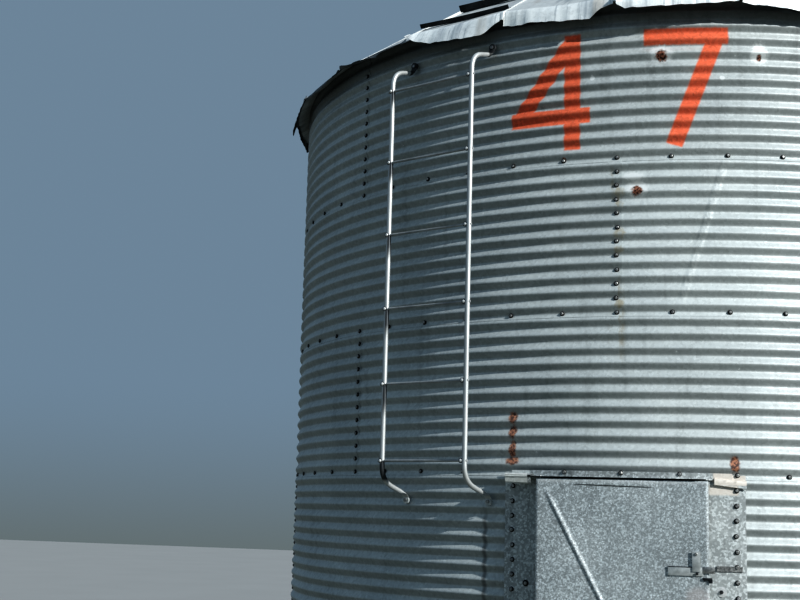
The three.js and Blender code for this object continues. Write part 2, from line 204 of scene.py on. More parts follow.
class Sketch:
    """A node tree that is being drawn."""

    def __init__(self, tree):
        self.tree = tree
        self.entry = None

    def add(self, kind, settings=None, values=None, out=0):
        """Adds a node, sets it, fills its sockets and gives one of its outputs."""
        node = self.tree.nodes.new(kind)
        for name, value in (settings or {}).items():
            setattr(node, name, value)
        for name, value in (values or {}).items():
            self.fill(node, name, value)
        shown = [s for s in node.outputs if s.enabled]
        if isinstance(out, str):
            return Wire(self, next(s for s in shown if s.name == out))
        return Wire(self, shown[out])

    def fill(self, node, name, value):
        """Links or sets an input of a node, which is given by its name or its number."""
        socket = node.inputs[name] if isinstance(name, int) else next(
            s for s in node.inputs if s.enabled and s.name == name)
        for each in value if isinstance(value, list) else [value]:
            if isinstance(each, Wire):
                self.tree.links.new(each.socket, socket)
            elif socket.type == "RGBA" and len(each) == 3:
                socket.default_value = (*each, 1.0)
            else:
                socket.default_value = each

    def mix(self, factor, a, b):
        """Colour a where factor is 0 and b where it is 1."""
        settings = {"data_type": "RGBA", "clamp_factor": True}
        return self.add("ShaderNodeMix", settings, {"Factor": factor, "A": a, "B": b})

    def layered(self, colour, layers):
        """Lays colours over a colour one after another, each where its mask is 1."""
        for mask, over in layers:
            colour = self.mix(mask, colour, over)
        return colour

    def vector(self, operation, first, values):
        return self.add("ShaderNodeVectorMath", {"operation": operation}, {0: first, **values})

    def shade(self, colour, number):
        """The colour made darker or lighter by a number."""
        return self.vector("SCALE", colour, {"Scale": number})

    def stretched(self, vector, scale):
        return self.vector("MULTIPLY", vector, {1: scale})

    def join(self, x, y, z):
        return self.add("ShaderNodeCombineXYZ", {}, {"X": x, "Y": y, "Z": z})

    def apart(self, vector):
        return [self.add("ShaderNodeSeparateXYZ", {}, {0: vector}, k) for k in range(3)]

    def noise(self, vector, scale, detail=2.0, roughness=0.5):
        values = {"Vector": vector, "Scale": scale, "Detail": detail, "Roughness": roughness}
        return self.add("ShaderNodeTexNoise", {"noise_dimensions": "3D"}, values)

    def cells(self, vector, scale, out="Distance"):
        values = {"Vector": vector, "Scale": scale}
        return self.add("ShaderNodeTexVoronoi", {"feature": "F1"}, values, out)

    def bump(self, height, distance, strength=0.5):
        values = {"Height": height, "Distance": distance, "Strength": strength}
        return self.add("ShaderNodeBump", {}, values)

    def takes(self, kind, *names):
        """Named inputs of a Geometry Nodes tree, all of one kind."""
        self.entry = self.entry or self.tree.nodes.new("NodeGroupInput")
        for name in names:
            self.tree.interface.new_socket(name=name, in_out="INPUT", socket_type=f"NodeSocket{kind}")
        return [Wire(self, next(s for s in self.entry.outputs if s.name == name)) for name in names]

    def gives(self, geometry):
        self.tree.interface.new_socket(name="Geometry", in_out="OUTPUT", socket_type="NodeSocketGeometry")
        self.tree.links.new(geometry.socket, self.tree.nodes.new("NodeGroupOutput").inputs[0])


# Shapes that repeat, as Geometry Nodes
def geometry_tree(name):
    s = Sketch(bpy.data.node_groups.new(name, "GeometryNodeTree"))
    s.takes("Geometry", "Geometry")
    return s


def coated(s, geometry, material):
    """A geometry made real, with its material."""
    whole = s.add("GeometryNodeRealizeInstances", {}, {"Geometry": geometry})
    return s.add("GeometryNodeSetMaterial", {}, {"Geometry": whole, "Material": material})


def sheet_tree():
    """One curved corrugated sheet, from azimuth to azimuth and from bottom to top."""
    s = geometry_tree("corrugated_sheet")
    start, end, bottom, top = s.takes("Float", "From", "To", "Bottom", "Top")
    columns, rows = s.takes("Int", "Columns", "Rows")
    crest, depth, pitch = s.takes("Float", "Crest radius", "Depth", "Pitch")
    rise, side, dent, tone = s.takes("Float", "Lap rise", "Side lap angle", "Dent", "Tone")
    [material] = s.takes("Material", "Material")
    size = {"Size X": 1.0, "Size Y": 1.0, "Vertices X": columns, "Vertices Y": rows}
    grid = s.add("GeometryNodeMeshGrid", {}, size, "Mesh")
    across, up, _ = s.apart(s.add("GeometryNodeInputPosition"))
    azimuth = start + (across + 0.5) * (end - start)
    z = bottom + (up + 0.5) * (top - bottom)
    flat = s.join(azimuth * CREST, z, tone * 40.0)
    bend = s.noise(flat, 1.6, 2.0) - 0.5
    waver = s.noise(s.stretched(flat, (1.0, 3.0, 1.0)), 2.4, 2.0) - 0.5
    turn = (z + waver * 0.0045) / pitch * TURN
    # a little of the third harmonic straightens the flanks between the crests and the troughs
    wave = (turn.math("COSINE") + (turn * 3).math("COSINE") * 0.05) / 1.05
    over_side = azimuth.smooth(end - side * 1.6, end - side)
    over_foot = 1 - z.smooth(bottom + LAP * 1.6, bottom + LAP * 2.6)
    lift = any_of([over_side, over_foot]) * rise
    radius = crest - depth * 0.5 - depth * 0.5 * wave + lift + bend * dent
    place = s.join(radius * azimuth.math("SINE"), -(radius * azimuth.math("COSINE")), z)
    bent = s.add("GeometryNodeSetPosition", {}, {"Geometry": grid, "Position": place})
    stored = {"Geometry": bent, "Name": "tone", "Value": tone}
    kept = s.add("GeometryNodeStoreNamedAttribute", {"data_type": "FLOAT", "domain": "POINT"}, stored)
    s.gives(coated(s, kept, material))
    return s.tree


def bolt_tree():
    """Rows of hexagon bolts on rubber washers, round the wall."""
    s = geometry_tree("bolts_on_the_wall")
    columns, rows, seed = s.takes("Int", "Columns", "Rows", "Seed")
    first, step, low, rise = s.takes("Float", "First azimuth", "Azimuth step", "Lowest", "Height step")
    radius, washer, head = s.takes("Float", "Radius", "Washer radius", "Head radius")
    rubber, zinc = s.takes("Material", "Washer material", "Head material")
    number = s.add("GeometryNodeInputIndex")
    column = (number / rows + 0.0001).math("FLOOR")
    row = number - column * rows
    loose = 0.0014
    reach = {0: (-loose, -loose, -loose), 1: (loose, loose, loose), "Seed": seed}
    play = s.apart(s.add("FunctionNodeRandomValue", {"data_type": "FLOAT_VECTOR"}, reach))
    azimuth = first + column * step + play[0]
    side, back = azimuth.math("SINE"), azimuth.math("COSINE")
    outward = s.join(side + play[1] * 60.0, play[2] * 60.0 - back, play[0] * 60.0)
    place = s.join(radius * side, -(radius * back), low + row * rise + play[1])
    points = s.add("GeometryNodePoints", {}, {"Count": columns * rows, "Position": place})
    aimed = s.add("FunctionNodeAlignRotationToVector", {"axis": "Z"}, {"Vector": outward})
    spin = s.add("FunctionNodeEulerToRotation", {}, {0: s.join(0.0, 0.0, play[2] * 2200.0)})
    turned = s.add("FunctionNodeRotateRotation", {"rotation_space": "LOCAL"},
                   {"Rotation": aimed, "Rotate By": spin})

    def stack(material, *cones):
        """Cones (sides, foot radius, top radius, height, lift) on every point."""
        pieces = []
        for sides, foot, top, height, lift in cones:
            sizes = {"Vertices": sides, "Radius Top": top, "Radius Bottom": foot, "Depth": height}
            cone = s.add("GeometryNodeMeshCone", {}, sizes, "Mesh")
            raised = {"Geometry": cone, "Translation": (0.0, 0.0, lift)}
            pieces.append(s.add("GeometryNodeTransform", {}, raised))
        whole = s.add("GeometryNodeJoinGeometry", {}, {"Geometry": pieces})
        set_out = {"Points": points, "Instance": whole, "Rotation": turned}
        return coated(s, s.add("GeometryNodeInstanceOnPoints", {}, set_out), material)

    washers = stack(rubber, (12, washer, washer * 0.84, 0.0032, 0.0))
    heads = stack(zinc, (6, head, head, 0.0042, 0.003), (6, head * 0.97, head * 0.72, 0.0013, 0.0072))
    s.gives(s.add("GeometryNodeJoinGeometry", {}, {"Geometry": [washers, heads]}))
    return s.tree


# Meshes
def new_object(name, mesh):
    thing = bpy.data.objects.new(name, mesh)
    bpy.context.scene.collection.objects.link(thing)
    return thing


def settle(thing):
    """Turns what an object's modifiers make into its plain mesh."""
    bpy.context.view_layer.update()
    graph = bpy.context.evaluated_depsgraph_get()
    made = bpy.data.meshes.new_from_object(thing.evaluated_get(graph), depsgraph=graph)
    thing.modifiers.clear()
    thing.data = made
    return thing


def thicken(thing, gauge, offset=-1.0):
    solid = thing.modifiers.new("gauge", "SOLIDIFY")
    solid.thickness = gauge
    solid.offset = offset
    return thing


def grow(name, tree, sizes, gauge=0.0):
    """An object whose mesh a Geometry Nodes tree makes, given a thickness if it is sheet."""
    thing = new_object(name, bpy.data.meshes.new(name))
    modifier = thing.modifiers.new("shape", "NODES")
    modifier.node_group = tree
    for item in tree.interface.items_tree:
        if item.in_out == "INPUT" and item.name in sizes:
            modifier[item.identifier] = sizes[item.name]
    return settle(thicken(thing, gauge) if gauge else thing)


def smooth(thing, angle=38.0):
    """Smooth shading, with sharp edges where the faces turn by more than the angle."""
    thing.data.shade_smooth()
    thing.data.set_sharp_from_angle(angle=math.radians(angle))
    return thing


def joined(name, things):
    """One object of several, with all their materials."""
    first = things[0]
    if len(things) > 1:
        with bpy.context.temp_override(active_object=first, selected_editable_objects=things):
            bpy.ops.object.join()
    first.name = name
    first.data.name = name
    return first


def built(name, points, faces, material):
    mesh = bpy.data.meshes.new(name)
    mesh.from_pydata([tuple(p) for p in points], [], faces)
    mesh.materials.append(material)
    return new_object(name, mesh)


def face_outwards(thing, weld=False):
    """Turns the faces outwards, after the doubles at a turned shape's poles are merged."""
    mesh = bmesh.new()
    mesh.from_mesh(thing.data)
    if weld:
        bmesh.ops.remove_doubles(mesh, verts=mesh.verts, dist=1e-5)
    bmesh.ops.recalc_face_normals(mesh, faces=mesh.faces)
    mesh.to_mesh(thing.data)
    mesh.free()
    return thing


def ring_faces(rings, sides, first=0):
    """Faces between closed rings of points that are listed ring by ring."""
    faces = []
    for start in range(first, first + (rings - 1) * sides, sides):
        for k in range(sides):
            a, b = start + k, start + (k + 1) % sides
            faces.append((a, b, b + sides, a + sides))
    return faces


def swept(name, rings, material):
    """A closed bar through rings of points."""
    sides = len(rings[0])
    total = len(rings) * sides
    ends = [tuple(range(sides)), tuple(range(total - sides, total))]
    points = [p for ring in rings for p in ring]
    return face_outwards(built(name, points, ring_faces(len(rings), sides) + ends, material))


def patch(name, rows, material, gauge, offset=-1.0):
    """A sheet through a grid of points, given row by row, with a thickness."""
    columns = len(rows[0])
    faces = []
    for start in range(0, (len(rows) - 1) * columns, columns):
        for a in range(start, start + columns - 1):
            faces.append((a, a + 1, a + columns + 1, a + columns))
    thing = built(name, [p for row in rows for p in row], faces, material)
    return smooth(settle(thicken(thing, gauge, offset)), 32)


def around(azimuth, radius, z):
    return Vector((radius * math.sin(azimuth), -radius * math.cos(azimuth), z))


def circle(k, sides):
    """Cosine and sine of one of a ring's corners."""
    return math.cos(TURN * k / sides), math.sin(TURN * k / sides)


def ease(value, start, end):
    """0 before start and 1 past end, with a soft change between."""
    t = min(max((value - start) / (end - start), 0.0), 1.0)
    return t * t * (3 - 2 * t)


def placed(thing, body, slot, *nodes):
    """Puts a finished piece on its body and in the place of CAD nodes, which it hides. The slot is not used.
    """
    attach(thing, body)
    if nodes:
        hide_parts(*nodes)


# Materials
def new_material(name):
    """The sketch of a new material, and the object coordinates."""
    material = bpy.data.materials.new(name)
    material.use_nodes = True
    sketch = Sketch(material.node_tree)
    sketch.material = material
    return sketch, sketch.add("ShaderNodeTexCoord", {}, {}, "Object")


def finished(s, colour, metallic, roughness, normal=None):
    """The material, once its shader has its colour, share of metal, roughness and relief."""
    shader = s.tree.nodes["Principled BSDF"]
    s.fill(shader, "Base Color", colour)
    s.fill(shader, "Metallic", metallic)
    s.fill(shader, "Roughness", roughness)
    if normal:
        s.fill(shader, "Normal", normal)
    return s.material


def any_of(masks):
    """The largest of several masks."""
    total = masks[0]
    for mask in masks[1:]:
        total = total.math("MAXIMUM", mask)
    return total


def spangle(s, place, scale):
    """The crystals of a zinc coat: a number from 0 to 1 that changes from cell to cell."""
    jitter = s.noise(place, scale * 1.7, 1.0)
    shift = s.shade(s.join(jitter, jitter * 0.7, jitter * 1.3), 0.004)
    tint = s.apart(s.cells(s.vector("ADD", place, {1: shift}), scale, "Color"))
    return tint[0] * 0.65 + tint[1] * 0.35


# Marks on the wall: azimuth in degrees, height in pitches, width and height in metres
RUST_BLOTS = [
    (-12.7, 25.75, 0.058, 0.068), (-12.7, 24.75, 0.052, 0.072), (-12.7, 23.55, 0.044, 0.095),
    (-12.7, 22.75, 0.080, 0.046), (13.4, 22.75, 0.052, 0.088), (-6.5, 44.1, 0.026, 0.028),
]
STAIN_BLOTS = [
    (0.35, 41.5, 0.060, 0.060), (0.35, 40.65, 0.045, 0.040), (0.35, 38.55, 0.060, 0.062),
    (0.3, 37.4, 0.050, 0.045), (0.3, 33.6, 0.050, 0.050),
]
HOLE_BLOTS = [(2.43, 41.56, 0.060, 0.060), (5.32, 51.31, 0.066, 0.070), (17.04, 51.13, 0.030, 0.036)]
SCUFF_BLOTS = [
    (2.43, 41.75, 0.13, 0.095), (5.32, 51.5, 0.130, 0.100), (17.04, 51.4, 0.100, 0.130),
    (2.0, 42.6, 0.12, 0.05), (-3.0, 50.0, 0.03, 0.03), (12.5, 49.6, 0.03, 0.03),
]


def blots(along, z, ragged, marks):
    """Ragged oval masks on the wall."""
    masks = []
    for azimuth, pitches, width, height in marks:
        u = (along - math.radians(azimuth) * CREST) / (width / 2)
        v = (z - pitches * PITCH) / (height / 2)
        away = (u * u + v * v).math("SQRT") + ragged
        masks.append(1 - away.smooth(0.55, 1.1))
    return any_of(masks)


def bin_number(along, z):
    """The painted number, two figures of straight strokes, 0.58 m high, on the unrolled wall."""
    low, high, half, wide = 3.045, 3.625, 0.040, 0.40
    four, seven = -0.53, 0.13
    soft = 0.006
    strokes = [
        ((four + wide * 0.78, low), (four + wide * 0.78, high)),
        ((four, low + 0.17), (four + wide, low + 0.17)),
        ((four + 0.035, low + 0.165), (four + wide * 0.76, high - 0.040)),
        ((seven, high - half), (seven + wide, high - half)),
        ((seven + wide - half * 1.1, high - 0.012), (seven + wide * 0.35, low)),
    ]
    masks = []
    for (u0, z0), (u1, z1) in strokes:
        length = math.hypot(u1 - u0, z1 - z0)
        cu, cz = (u1 - u0) / length, (z1 - z0) / length
        forward = (along - u0) * cu + (z - z0) * cz
        aside = (z - z0) * cu - (along - u0) * cz
        masks.append(forward.within(length / 2, length / 2, soft) * aside.within(0.0, half, soft))
    return any_of(masks)


def wall_zinc():
    """Weathered zinc on the wall, with streaks, rust at the bolts and the painted number, and painted shade
    on the corrugations' downward flanks and under the eave.
    """
    s, place = new_material("galvanised_wall")
    x, y, z = s.apart(place)
    along = x.math("ARCTAN2", -y) * CREST
    tone = s.add("ShaderNodeAttribute", {"attribute_name": "tone"}, {}, "Fac")
    patches = s.noise(place, 2.3, 3.0, 0.6)
    crystals = spangle(s, place, 78.0)
    grit = s.noise(place, 260.0, 2.0, 0.6)
    streaks = s.noise(s.stretched(place, (16.0, 16.0, 1.3)), 1.0, 4.0, 0.62)
    ragged = s.noise(place, 55.0, 3.0, 0.65) * 0.9 - 0.45
    mottle = s.noise(place, 85.0, 2.0, 0.6).smooth(0.40, 0.62)
    light = 0.72 + patches * 0.30 + crystals * 0.22 + grit * 0.16 + tone * 0.10
    light = light - streaks.smooth(0.52, 0.75) * 0.16
    # painted shade: the downward-facing flank of every corrugation is made up to a fifth darker, standing in
    # for the shade under the crests
    painted_underside_shade = (z / PITCH * TURN).math("SINE").smooth(-0.2, 0.5)
    light = light * (1 - painted_underside_shade * 0.22)
    zinc = s.shade(s.mix(patches, (0.47, 0.505, 0.515), (0.55, 0.575, 0.57)), light)
    # painted shade: the top of the wall under the eave is turned towards near black, standing in for the
    # eave's shadow
    painted_eave_shade = z.smooth(53.2 * PITCH, 54.6 * PITCH)
    scuffs = blots(along, z, ragged, SCUFF_BLOTS)
    specks = (1 - s.cells(place, 8.0).smooth(0.030, 0.055)) * grit.smooth(0.40, 0.55)
    drips = streaks.smooth(0.50, 0.68) * along.within(0.0, 0.028, 0.02) * z.within(36.5 * PITCH, 0.42, 0.1)
    beside_frame = along.within(math.radians(-16.24) * CREST, 0.010, 0.008) * (1 - z.smooth(1.20, 1.37))
    paint = bin_number(along + ragged * 0.010, z + ragged * 0.010)
    paint = paint * (1 - scuffs) * (1 - (grit - 0.45).smooth(0.18, 0.30) * 0.5)
    red = s.shade(s.mix(patches, (0.72, 0.170, 0.090), (0.82, 0.235, 0.130)), 0.80 + crystals * 0.3)
    stains = blots(along, z, ragged * 1.6, STAIN_BLOTS) * streaks.smooth(0.30, 0.50)
    rust = blots(along, z, ragged, RUST_BLOTS)
    holes = blots(along, z, ragged * 1.5, HOLE_BLOTS)
    colour = s.layered(zinc, [
        (painted_eave_shade * 0.75, (0.075, 0.080, 0.085)),
        (any_of([scuffs * 0.8, specks * 0.6]), (0.80, 0.82, 0.82)),
        (drips * 0.75, (0.33, 0.25, 0.13)),
        (beside_frame * 0.6, (0.10, 0.10, 0.10)),
        (paint, red),
        (stains * 0.55, (0.40, 0.34, 0.23)),
        (rust * 0.9, s.mix(mottle, (0.09, 0.030, 0.018), (0.46, 0.22, 0.13))),
        (holes, s.mix(mottle, (0.04, 0.018, 0.012), (0.33, 0.16, 0.11))),
    ])
    covered = any_of([paint, rust, holes])
    roughness = 0.58 + (patches - 0.5) * 0.2 - crystals * 0.10 + covered * 0.2
    # a row of small dents slants up the sheet right of the seam
    trail = (along - 0.310 - (z - 2.332) * 0.311).within(0.0, 0.016, 0.010) * z.within(2.62, 0.33, 0.03)
    dents = s.noise(place, 38.0, 1.0) * trail * 3.0
    relief = s.bump(crystals * 0.4 + grit * 0.6 + dents, 0.0012, 0.8)
    return finished(s, colour, 0.22 - covered * 0.20, roughness, relief)


def roof_zinc():
    """Chalky zinc on the roof, streaked down the slope, with a painted highlight on the front eave lips and
    painted shade on the left ones.
    """
    s, place = new_material("galvanised_roof")
    x, y, z = s.apart(place)
    azimuth = x.math("ARCTAN2", -y)
    radius = (x * x + y * y).math("SQRT")
    run = s.join(azimuth * 34.0, radius * 1.7, z * 0.6)
    streaks = s.noise(run, 1.0, 5.0, 0.66)
    patches = s.noise(place, 3.4, 4.0, 0.62)
    crystals = spangle(s, place, 70.0)
    grit = s.noise(place, 210.0, 2.0, 0.6)
    light = 0.64 + patches * 0.46 + crystals * 0.18 + grit * 0.20
    zinc = s.shade(s.mix(patches, (0.52, 0.545, 0.56), (0.66, 0.665, 0.65)), light)
    brown = s.noise(run, 0.45, 3.0, 0.6).smooth(0.56, 0.72)
    scratch = s.noise(s.join(azimuth * 150.0, radius * 5.0, z * 3.0), 1.0, 3.0, 0.7).smooth(0.56, 0.66)
    weathered = s.layered(zinc, [
        (streaks.smooth(0.50, 0.70) * 0.62, (0.24, 0.27, 0.30)),
        (brown * 0.35, (0.30, 0.22, 0.14)),
        (scratch * radius.smooth(2.24, 2.30) * 0.45, (0.22, 0.25, 0.28)),
    ])
    # painted highlight: the eave lips at the front are made up to half again lighter, standing in for the
    # sunlight on them
    chalk = x.smooth(-1.12, -1.08) * radius.smooth(2.282, 2.300) * (1 - y.smooth(-1.2, -0.8))
    # painted shade: the outer eave lips on the left half are turned towards near black, standing in for the
    # shade they lie in
    painted_left_lip_shade = (1 - x.smooth(-1.165, -1.125)) * radius.smooth(2.338, 2.346) * patches.smooth(0.20, 0.40)
    colour = s.mix(painted_left_lip_shade * 0.82, s.shade(weathered, 1.0 + chalk * 0.45), (0.066, 0.076, 0.086))
    relief = s.bump(crystals * 0.3 + grit * 0.7 + streaks, 0.0008)
    return finished(s, colour, 0.22, 0.48 + patches * 0.2 + streaks * 0.1, relief)


def door_zinc():
    """Large bright spangle on the door's flat sheet, with chalky stains and a painted shadow under the hem.
    """
    s, place = new_material("galvanised_door")
    x, _, z = s.apart(place)
    coarse = spangle(s, place, 130.0)
    fine = spangle(s, place, 250.0)
    patches = s.noise(place, 4.2, 3.0, 0.6)
    grit = s.noise(place, 320.0, 2.0, 0.6)
    streaks = s.noise(s.stretched(place, (22.0, 22.0, 2.0)), 1.0, 4.0, 0.6)
    flecks = coarse.smooth(0.40, 0.85) * 0.50 + fine.smooth(0.45, 0.85) * 0.42
    light = 0.49 + flecks + patches * 0.30 + grit * 0.10
    light = light - streaks.smooth(0.55, 0.80) * 0.12
    zinc = s.shade(s.mix(patches, (0.47, 0.51, 0.53), (0.57, 0.60, 0.61)), light)
    below_latch = ((x - 0.360) * (x - 0.360) + (z - 0.955) * (z - 0.955)).math("SQRT")
    chalk = 1 - (below_latch + patches * 0.05).smooth(0.055, 0.095)
    hem = z.within(1.456, 0.008, 0.004)
    # painted shadow: a thin near-black line under the door's raised hem stands in for the shadow under its
    # step
    painted_hem_shadow = (z - (1.4355 - x * 0.021)).within(0.0, 0.0026, 0.0014) * x.within(-0.015, 0.170, 0.03)
    colour = s.layered(zinc, [
        (chalk * 0.5, (0.66, 0.60, 0.59)),
        (hem * 0.4, (0.66, 0.68, 0.68)),
        (painted_hem_shadow * 0.85, (0.02, 0.024, 0.026)),
    ])
    relief = s.bump(coarse * 0.6 + grit * 0.4, 0.0005)
    return finished(s, colour, 0.25, 0.55 + patches * 0.15 - coarse * 0.16, relief)


def frame_zinc():
    """Duller, dirtier zinc on the door frame, with painted sunlight on the header's left end and a painted
    shadow on the lip's edge.
    """
    s, place = new_material("door_frame_zinc")
    x, y, z = s.apart(place)
    coarse = spangle(s, place, 110.0)
    patches = s.noise(place, 7.0, 4.0, 0.65)
    grit = s.noise(place, 240.0, 2.0, 0.6)
    streaks = s.noise(s.stretched(place, (30.0, 30.0, 2.4)), 1.0, 4.0, 0.6)
    flecks = coarse.smooth(0.35, 0.85)
    light = 0.48 + flecks * 0.48 + patches * 0.42 + grit * 0.12 - streaks.smooth(0.5, 0.75) * 0.2
    zinc = s.shade(s.mix(patches, (0.46, 0.50, 0.515), (0.60, 0.615, 0.61)), light)
    corner = x.within(0.475, 0.065, 0.010) * z.within(1.4275, 0.022, 0.006) * patches.smooth(0.25, 0.40)
    corner = any_of([corner, x.smooth(0.425, 0.435) * z.smooth(1.448, 1.452)])
    # the left end of the header is made lighter: partly paler zinc, partly painted sunlight on an end that
    # lies in shade
    pale_and_sunlit_end = (1 - x.smooth(-0.410, -0.404)) * z.smooth(1.438, 1.440)
    # painted shadow: the outer edge of the header lip is made near black, widening the dark shadow line
    # between the lip and the door
    painted_lip_edge_shadow = (-y).smooth(2.294, 2.298) * z.within(LIP_HEIGHT, 0.004, 0.001)
    colour = s.layered(zinc, [
        (corner * 0.8, (0.76, 0.70, 0.64)),
        (pale_and_sunlit_end * (0.45 + patches * 0.5), (0.80, 0.81, 0.79)),
        (painted_lip_edge_shadow * (1 - x.smooth(0.425, 0.432)) * (1 - pale_and_sunlit_end), (0.012, 0.014, 0.016)),
    ])
    relief = s.bump(coarse * 0.4 + grit * 0.6, 0.0006)
    return finished(s, colour, 0.38, 0.50 + patches * 0.2, relief)


def tube_zinc():
    """Bright tube of the ladder, with a painted shadow of each rung down its left stile and painted shade on
    the stiles' top ends.
    """
    s, place = new_material("ladder_zinc")
    x, y, z = s.apart(place)
    patches = s.noise(place, 9.0, 4.0, 0.65)
    grit = s.noise(place, 300.0, 2.0, 0.6)
    aside = x * math.cos(LADDER_AZIMUTH) + y * math.sin(LADDER_AZIMUTH) + LADDER_HALF
    # painted shadow: a dark streak down the left stile below each rung stands in for the rung's shadow on it
    below = RUNG_HIGH - z
    length = below * 0.06 + 0.10
    run = 1 - ((below % RUNG_STEP) / length + patches * 0.3).smooth(0.55, 1.15)
    strip = any_of([aside.within(0.0075, 0.0055, 0.0020), 1 - z.smooth(RUNG_LOW - 0.02, RUNG_LOW)])
    reach = below.smooth(0.0, 0.004) * z.smooth(RUNG_LOW - 0.105, RUNG_LOW - 0.085)
    shadowed_left_stile = 1 - x.smooth(-0.92, -0.90)
    # painted shade: the stiles' flattened top ends near the wall are made near black, standing in for the
    # shade they face into
    painted_top_end_shade = z.smooth(3.40, 3.41) * (1 - (x * x + y * y).math("SQRT").smooth(2.322, 2.338))
    colour = s.layered(s.mix(patches, (0.50, 0.515, 0.52), (0.64, 0.65, 0.65)), [
        (run * strip * reach * shadowed_left_stile * 0.90, (0.030, 0.036, 0.044)),
        (painted_top_end_shade * 0.9, (0.040, 0.043, 0.046)),
    ])
    return finished(s, colour, 0.50, 0.36 + patches * 0.2, s.bump(grit, 0.0003, 0.4))


def plain_steel(name, dark, light, metallic, roughness, scale):
    """Painted, plated or bare steel with soft patches and fine grit."""
    s, place = new_material(name)
    patches = s.noise(place, scale, 4.0, 0.65)
    grit = s.noise(place, scale * 22.0, 2.0, 0.6)
    colour = s.mix(patches.smooth(0.3, 0.7), dark, light)
    return finished(s, colour, metallic, roughness + (patches - 0.5) * 0.3, s.bump(grit + patches, 0.0004))


WALL_ZINC = wall_zinc()
ROOF_ZINC = roof_zinc()
DOOR_ZINC = door_zinc()
FRAME_ZINC = frame_zinc()
TUBE_ZINC = tube_zinc()
RUBBER = plain_steel("washer_rubber", (0.012, 0.012, 0.013), (0.045, 0.045, 0.045), 0.0, 0.75, 60.0)
BOLT_ZINC = plain_steel("bolt_zinc", (0.20, 0.20, 0.20), (0.50, 0.50, 0.49), 0.75, 0.42, 90.0)
# painted shade: the roof steps get near-black steel, standing in for the shade on their webs
SHADED_STEP_STEEL = plain_steel("roof_step_painted_shade", (0.03, 0.033, 0.036), (0.085, 0.09, 0.095), 0.4, 0.55, 12.0)
LATCH_STEEL = plain_steel("latch_zinc", (0.42, 0.44, 0.44), (0.64, 0.66, 0.66), 0.25, 0.45, 30.0)
NUT_ZINC = plain_steel("bright_nut_zinc", (0.62, 0.63, 0.63), (0.85, 0.85, 0.85), 0.2, 0.35, 60.0)
ROD_STEEL = plain_steel("rung_steel", (0.34, 0.35, 0.36), (0.52, 0.53, 0.53), 0.3, 0.45, 14.0)
# dark steel for small fittings, and for the painted shadow along the latch strap
DARK_STEEL_AND_SHADOW = plain_steel("dark_latch_steel_and_painted_shadow", (0.03, 0.035, 0.04), (0.09, 0.095, 0.10), 0.4, 0.55, 30.0)
PLATE_STEEL = plain_steel("bottom_plate_steel", (0.20, 0.19, 0.18), (0.36, 0.35, 0.33), 0.3, 0.65, 4.0)


# The wall
def first_seam(ring):
    """The bolt at which a ring's first sheet starts. The seams step from ring to ring."""
    return 0 if ring % 2 == 0 else -6


def ring_height(ring):
    """Lowest and highest edge of a ring's sheets, laps included."""
    low = FLOOR_TOP if ring == 1 else (ring - 1) * RING_PITCHES * PITCH - LAP
    high = WALL_TOP - 0.004 if ring == RINGS else ring * RING_PITCHES * PITCH + LAP
    return low, high


def sheets_of(ring):
    """(first bolt, last bolt) of each sheet or part of a sheet in a ring."""
    starts = [first_seam(ring) + k * SHEET_BOLTS for k in range(RING_SHEETS)]
    spans = [(start, start + SHEET_BOLTS) for start in starts]
    if ring > DOORWAY_RINGS:
        return spans
    cut = []
    for start, end in spans:
        if start < -DOORWAY_BOLTS and end > DOORWAY_BOLTS:
            cut += [(start, -DOORWAY_BOLTS), (DOORWAY_BOLTS, end)]
        else:
            late = end - DOORWAY_BOLTS if end == BOLTS_ROUND else end
            cut.append((DOORWAY_BOLTS if start == 0 else start, late))
    return cut


def wall_sheet(tree, start, end, low, high, tone):
    """A sheet that starts behind its left neighbour's edge and ends past its own bolts."""
    left = start * BOLT_ANGLE - (SIDE_LAP / CREST if start == round(start) else 0.0)
    right = end * BOLT_ANGLE + (SIDE_LAP / CREST if end == round(end) else 0.0)
    middle = math.degrees((left + right) / 2) % 360
    column, row_share = (1.2, 12) if middle < 75 or middle > 300 else (2.2, 8)
    return grow("sheet", tree, {
        "From": left, "To": right, "Bottom": low, "Top": high,
        "Columns": 2 + round(math.degrees(right - left) / column),
        "Rows": 1 + round((high - low) / PITCH * row_share),
        "Crest radius": CREST, "Depth": DEPTH, "Pitch": PITCH, "Lap rise": LAP_RISE,
        "Side lap angle": SIDE_LAP * 2 / CREST, "Dent": DENT, "Tone": tone, "Material": WALL_ZINC,
    }, GAUGE)


def wall_rings():
    tree = sheet_tree()
    chance = random.Random(11)
    for ring in range(1, RINGS + 1):
        low, high = ring_height(ring)
        sheets = [wall_sheet(tree, start, end, low, high, chance.random()) for start, end in sheets_of(ring)]
        whole = smooth(joined(f"ring_{ring}_corrugated", sheets))
        nodes = [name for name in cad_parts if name.startswith(f"ring_{ring}_sheet")]
        placed(whole, "silo", "wall_steel", *nodes)


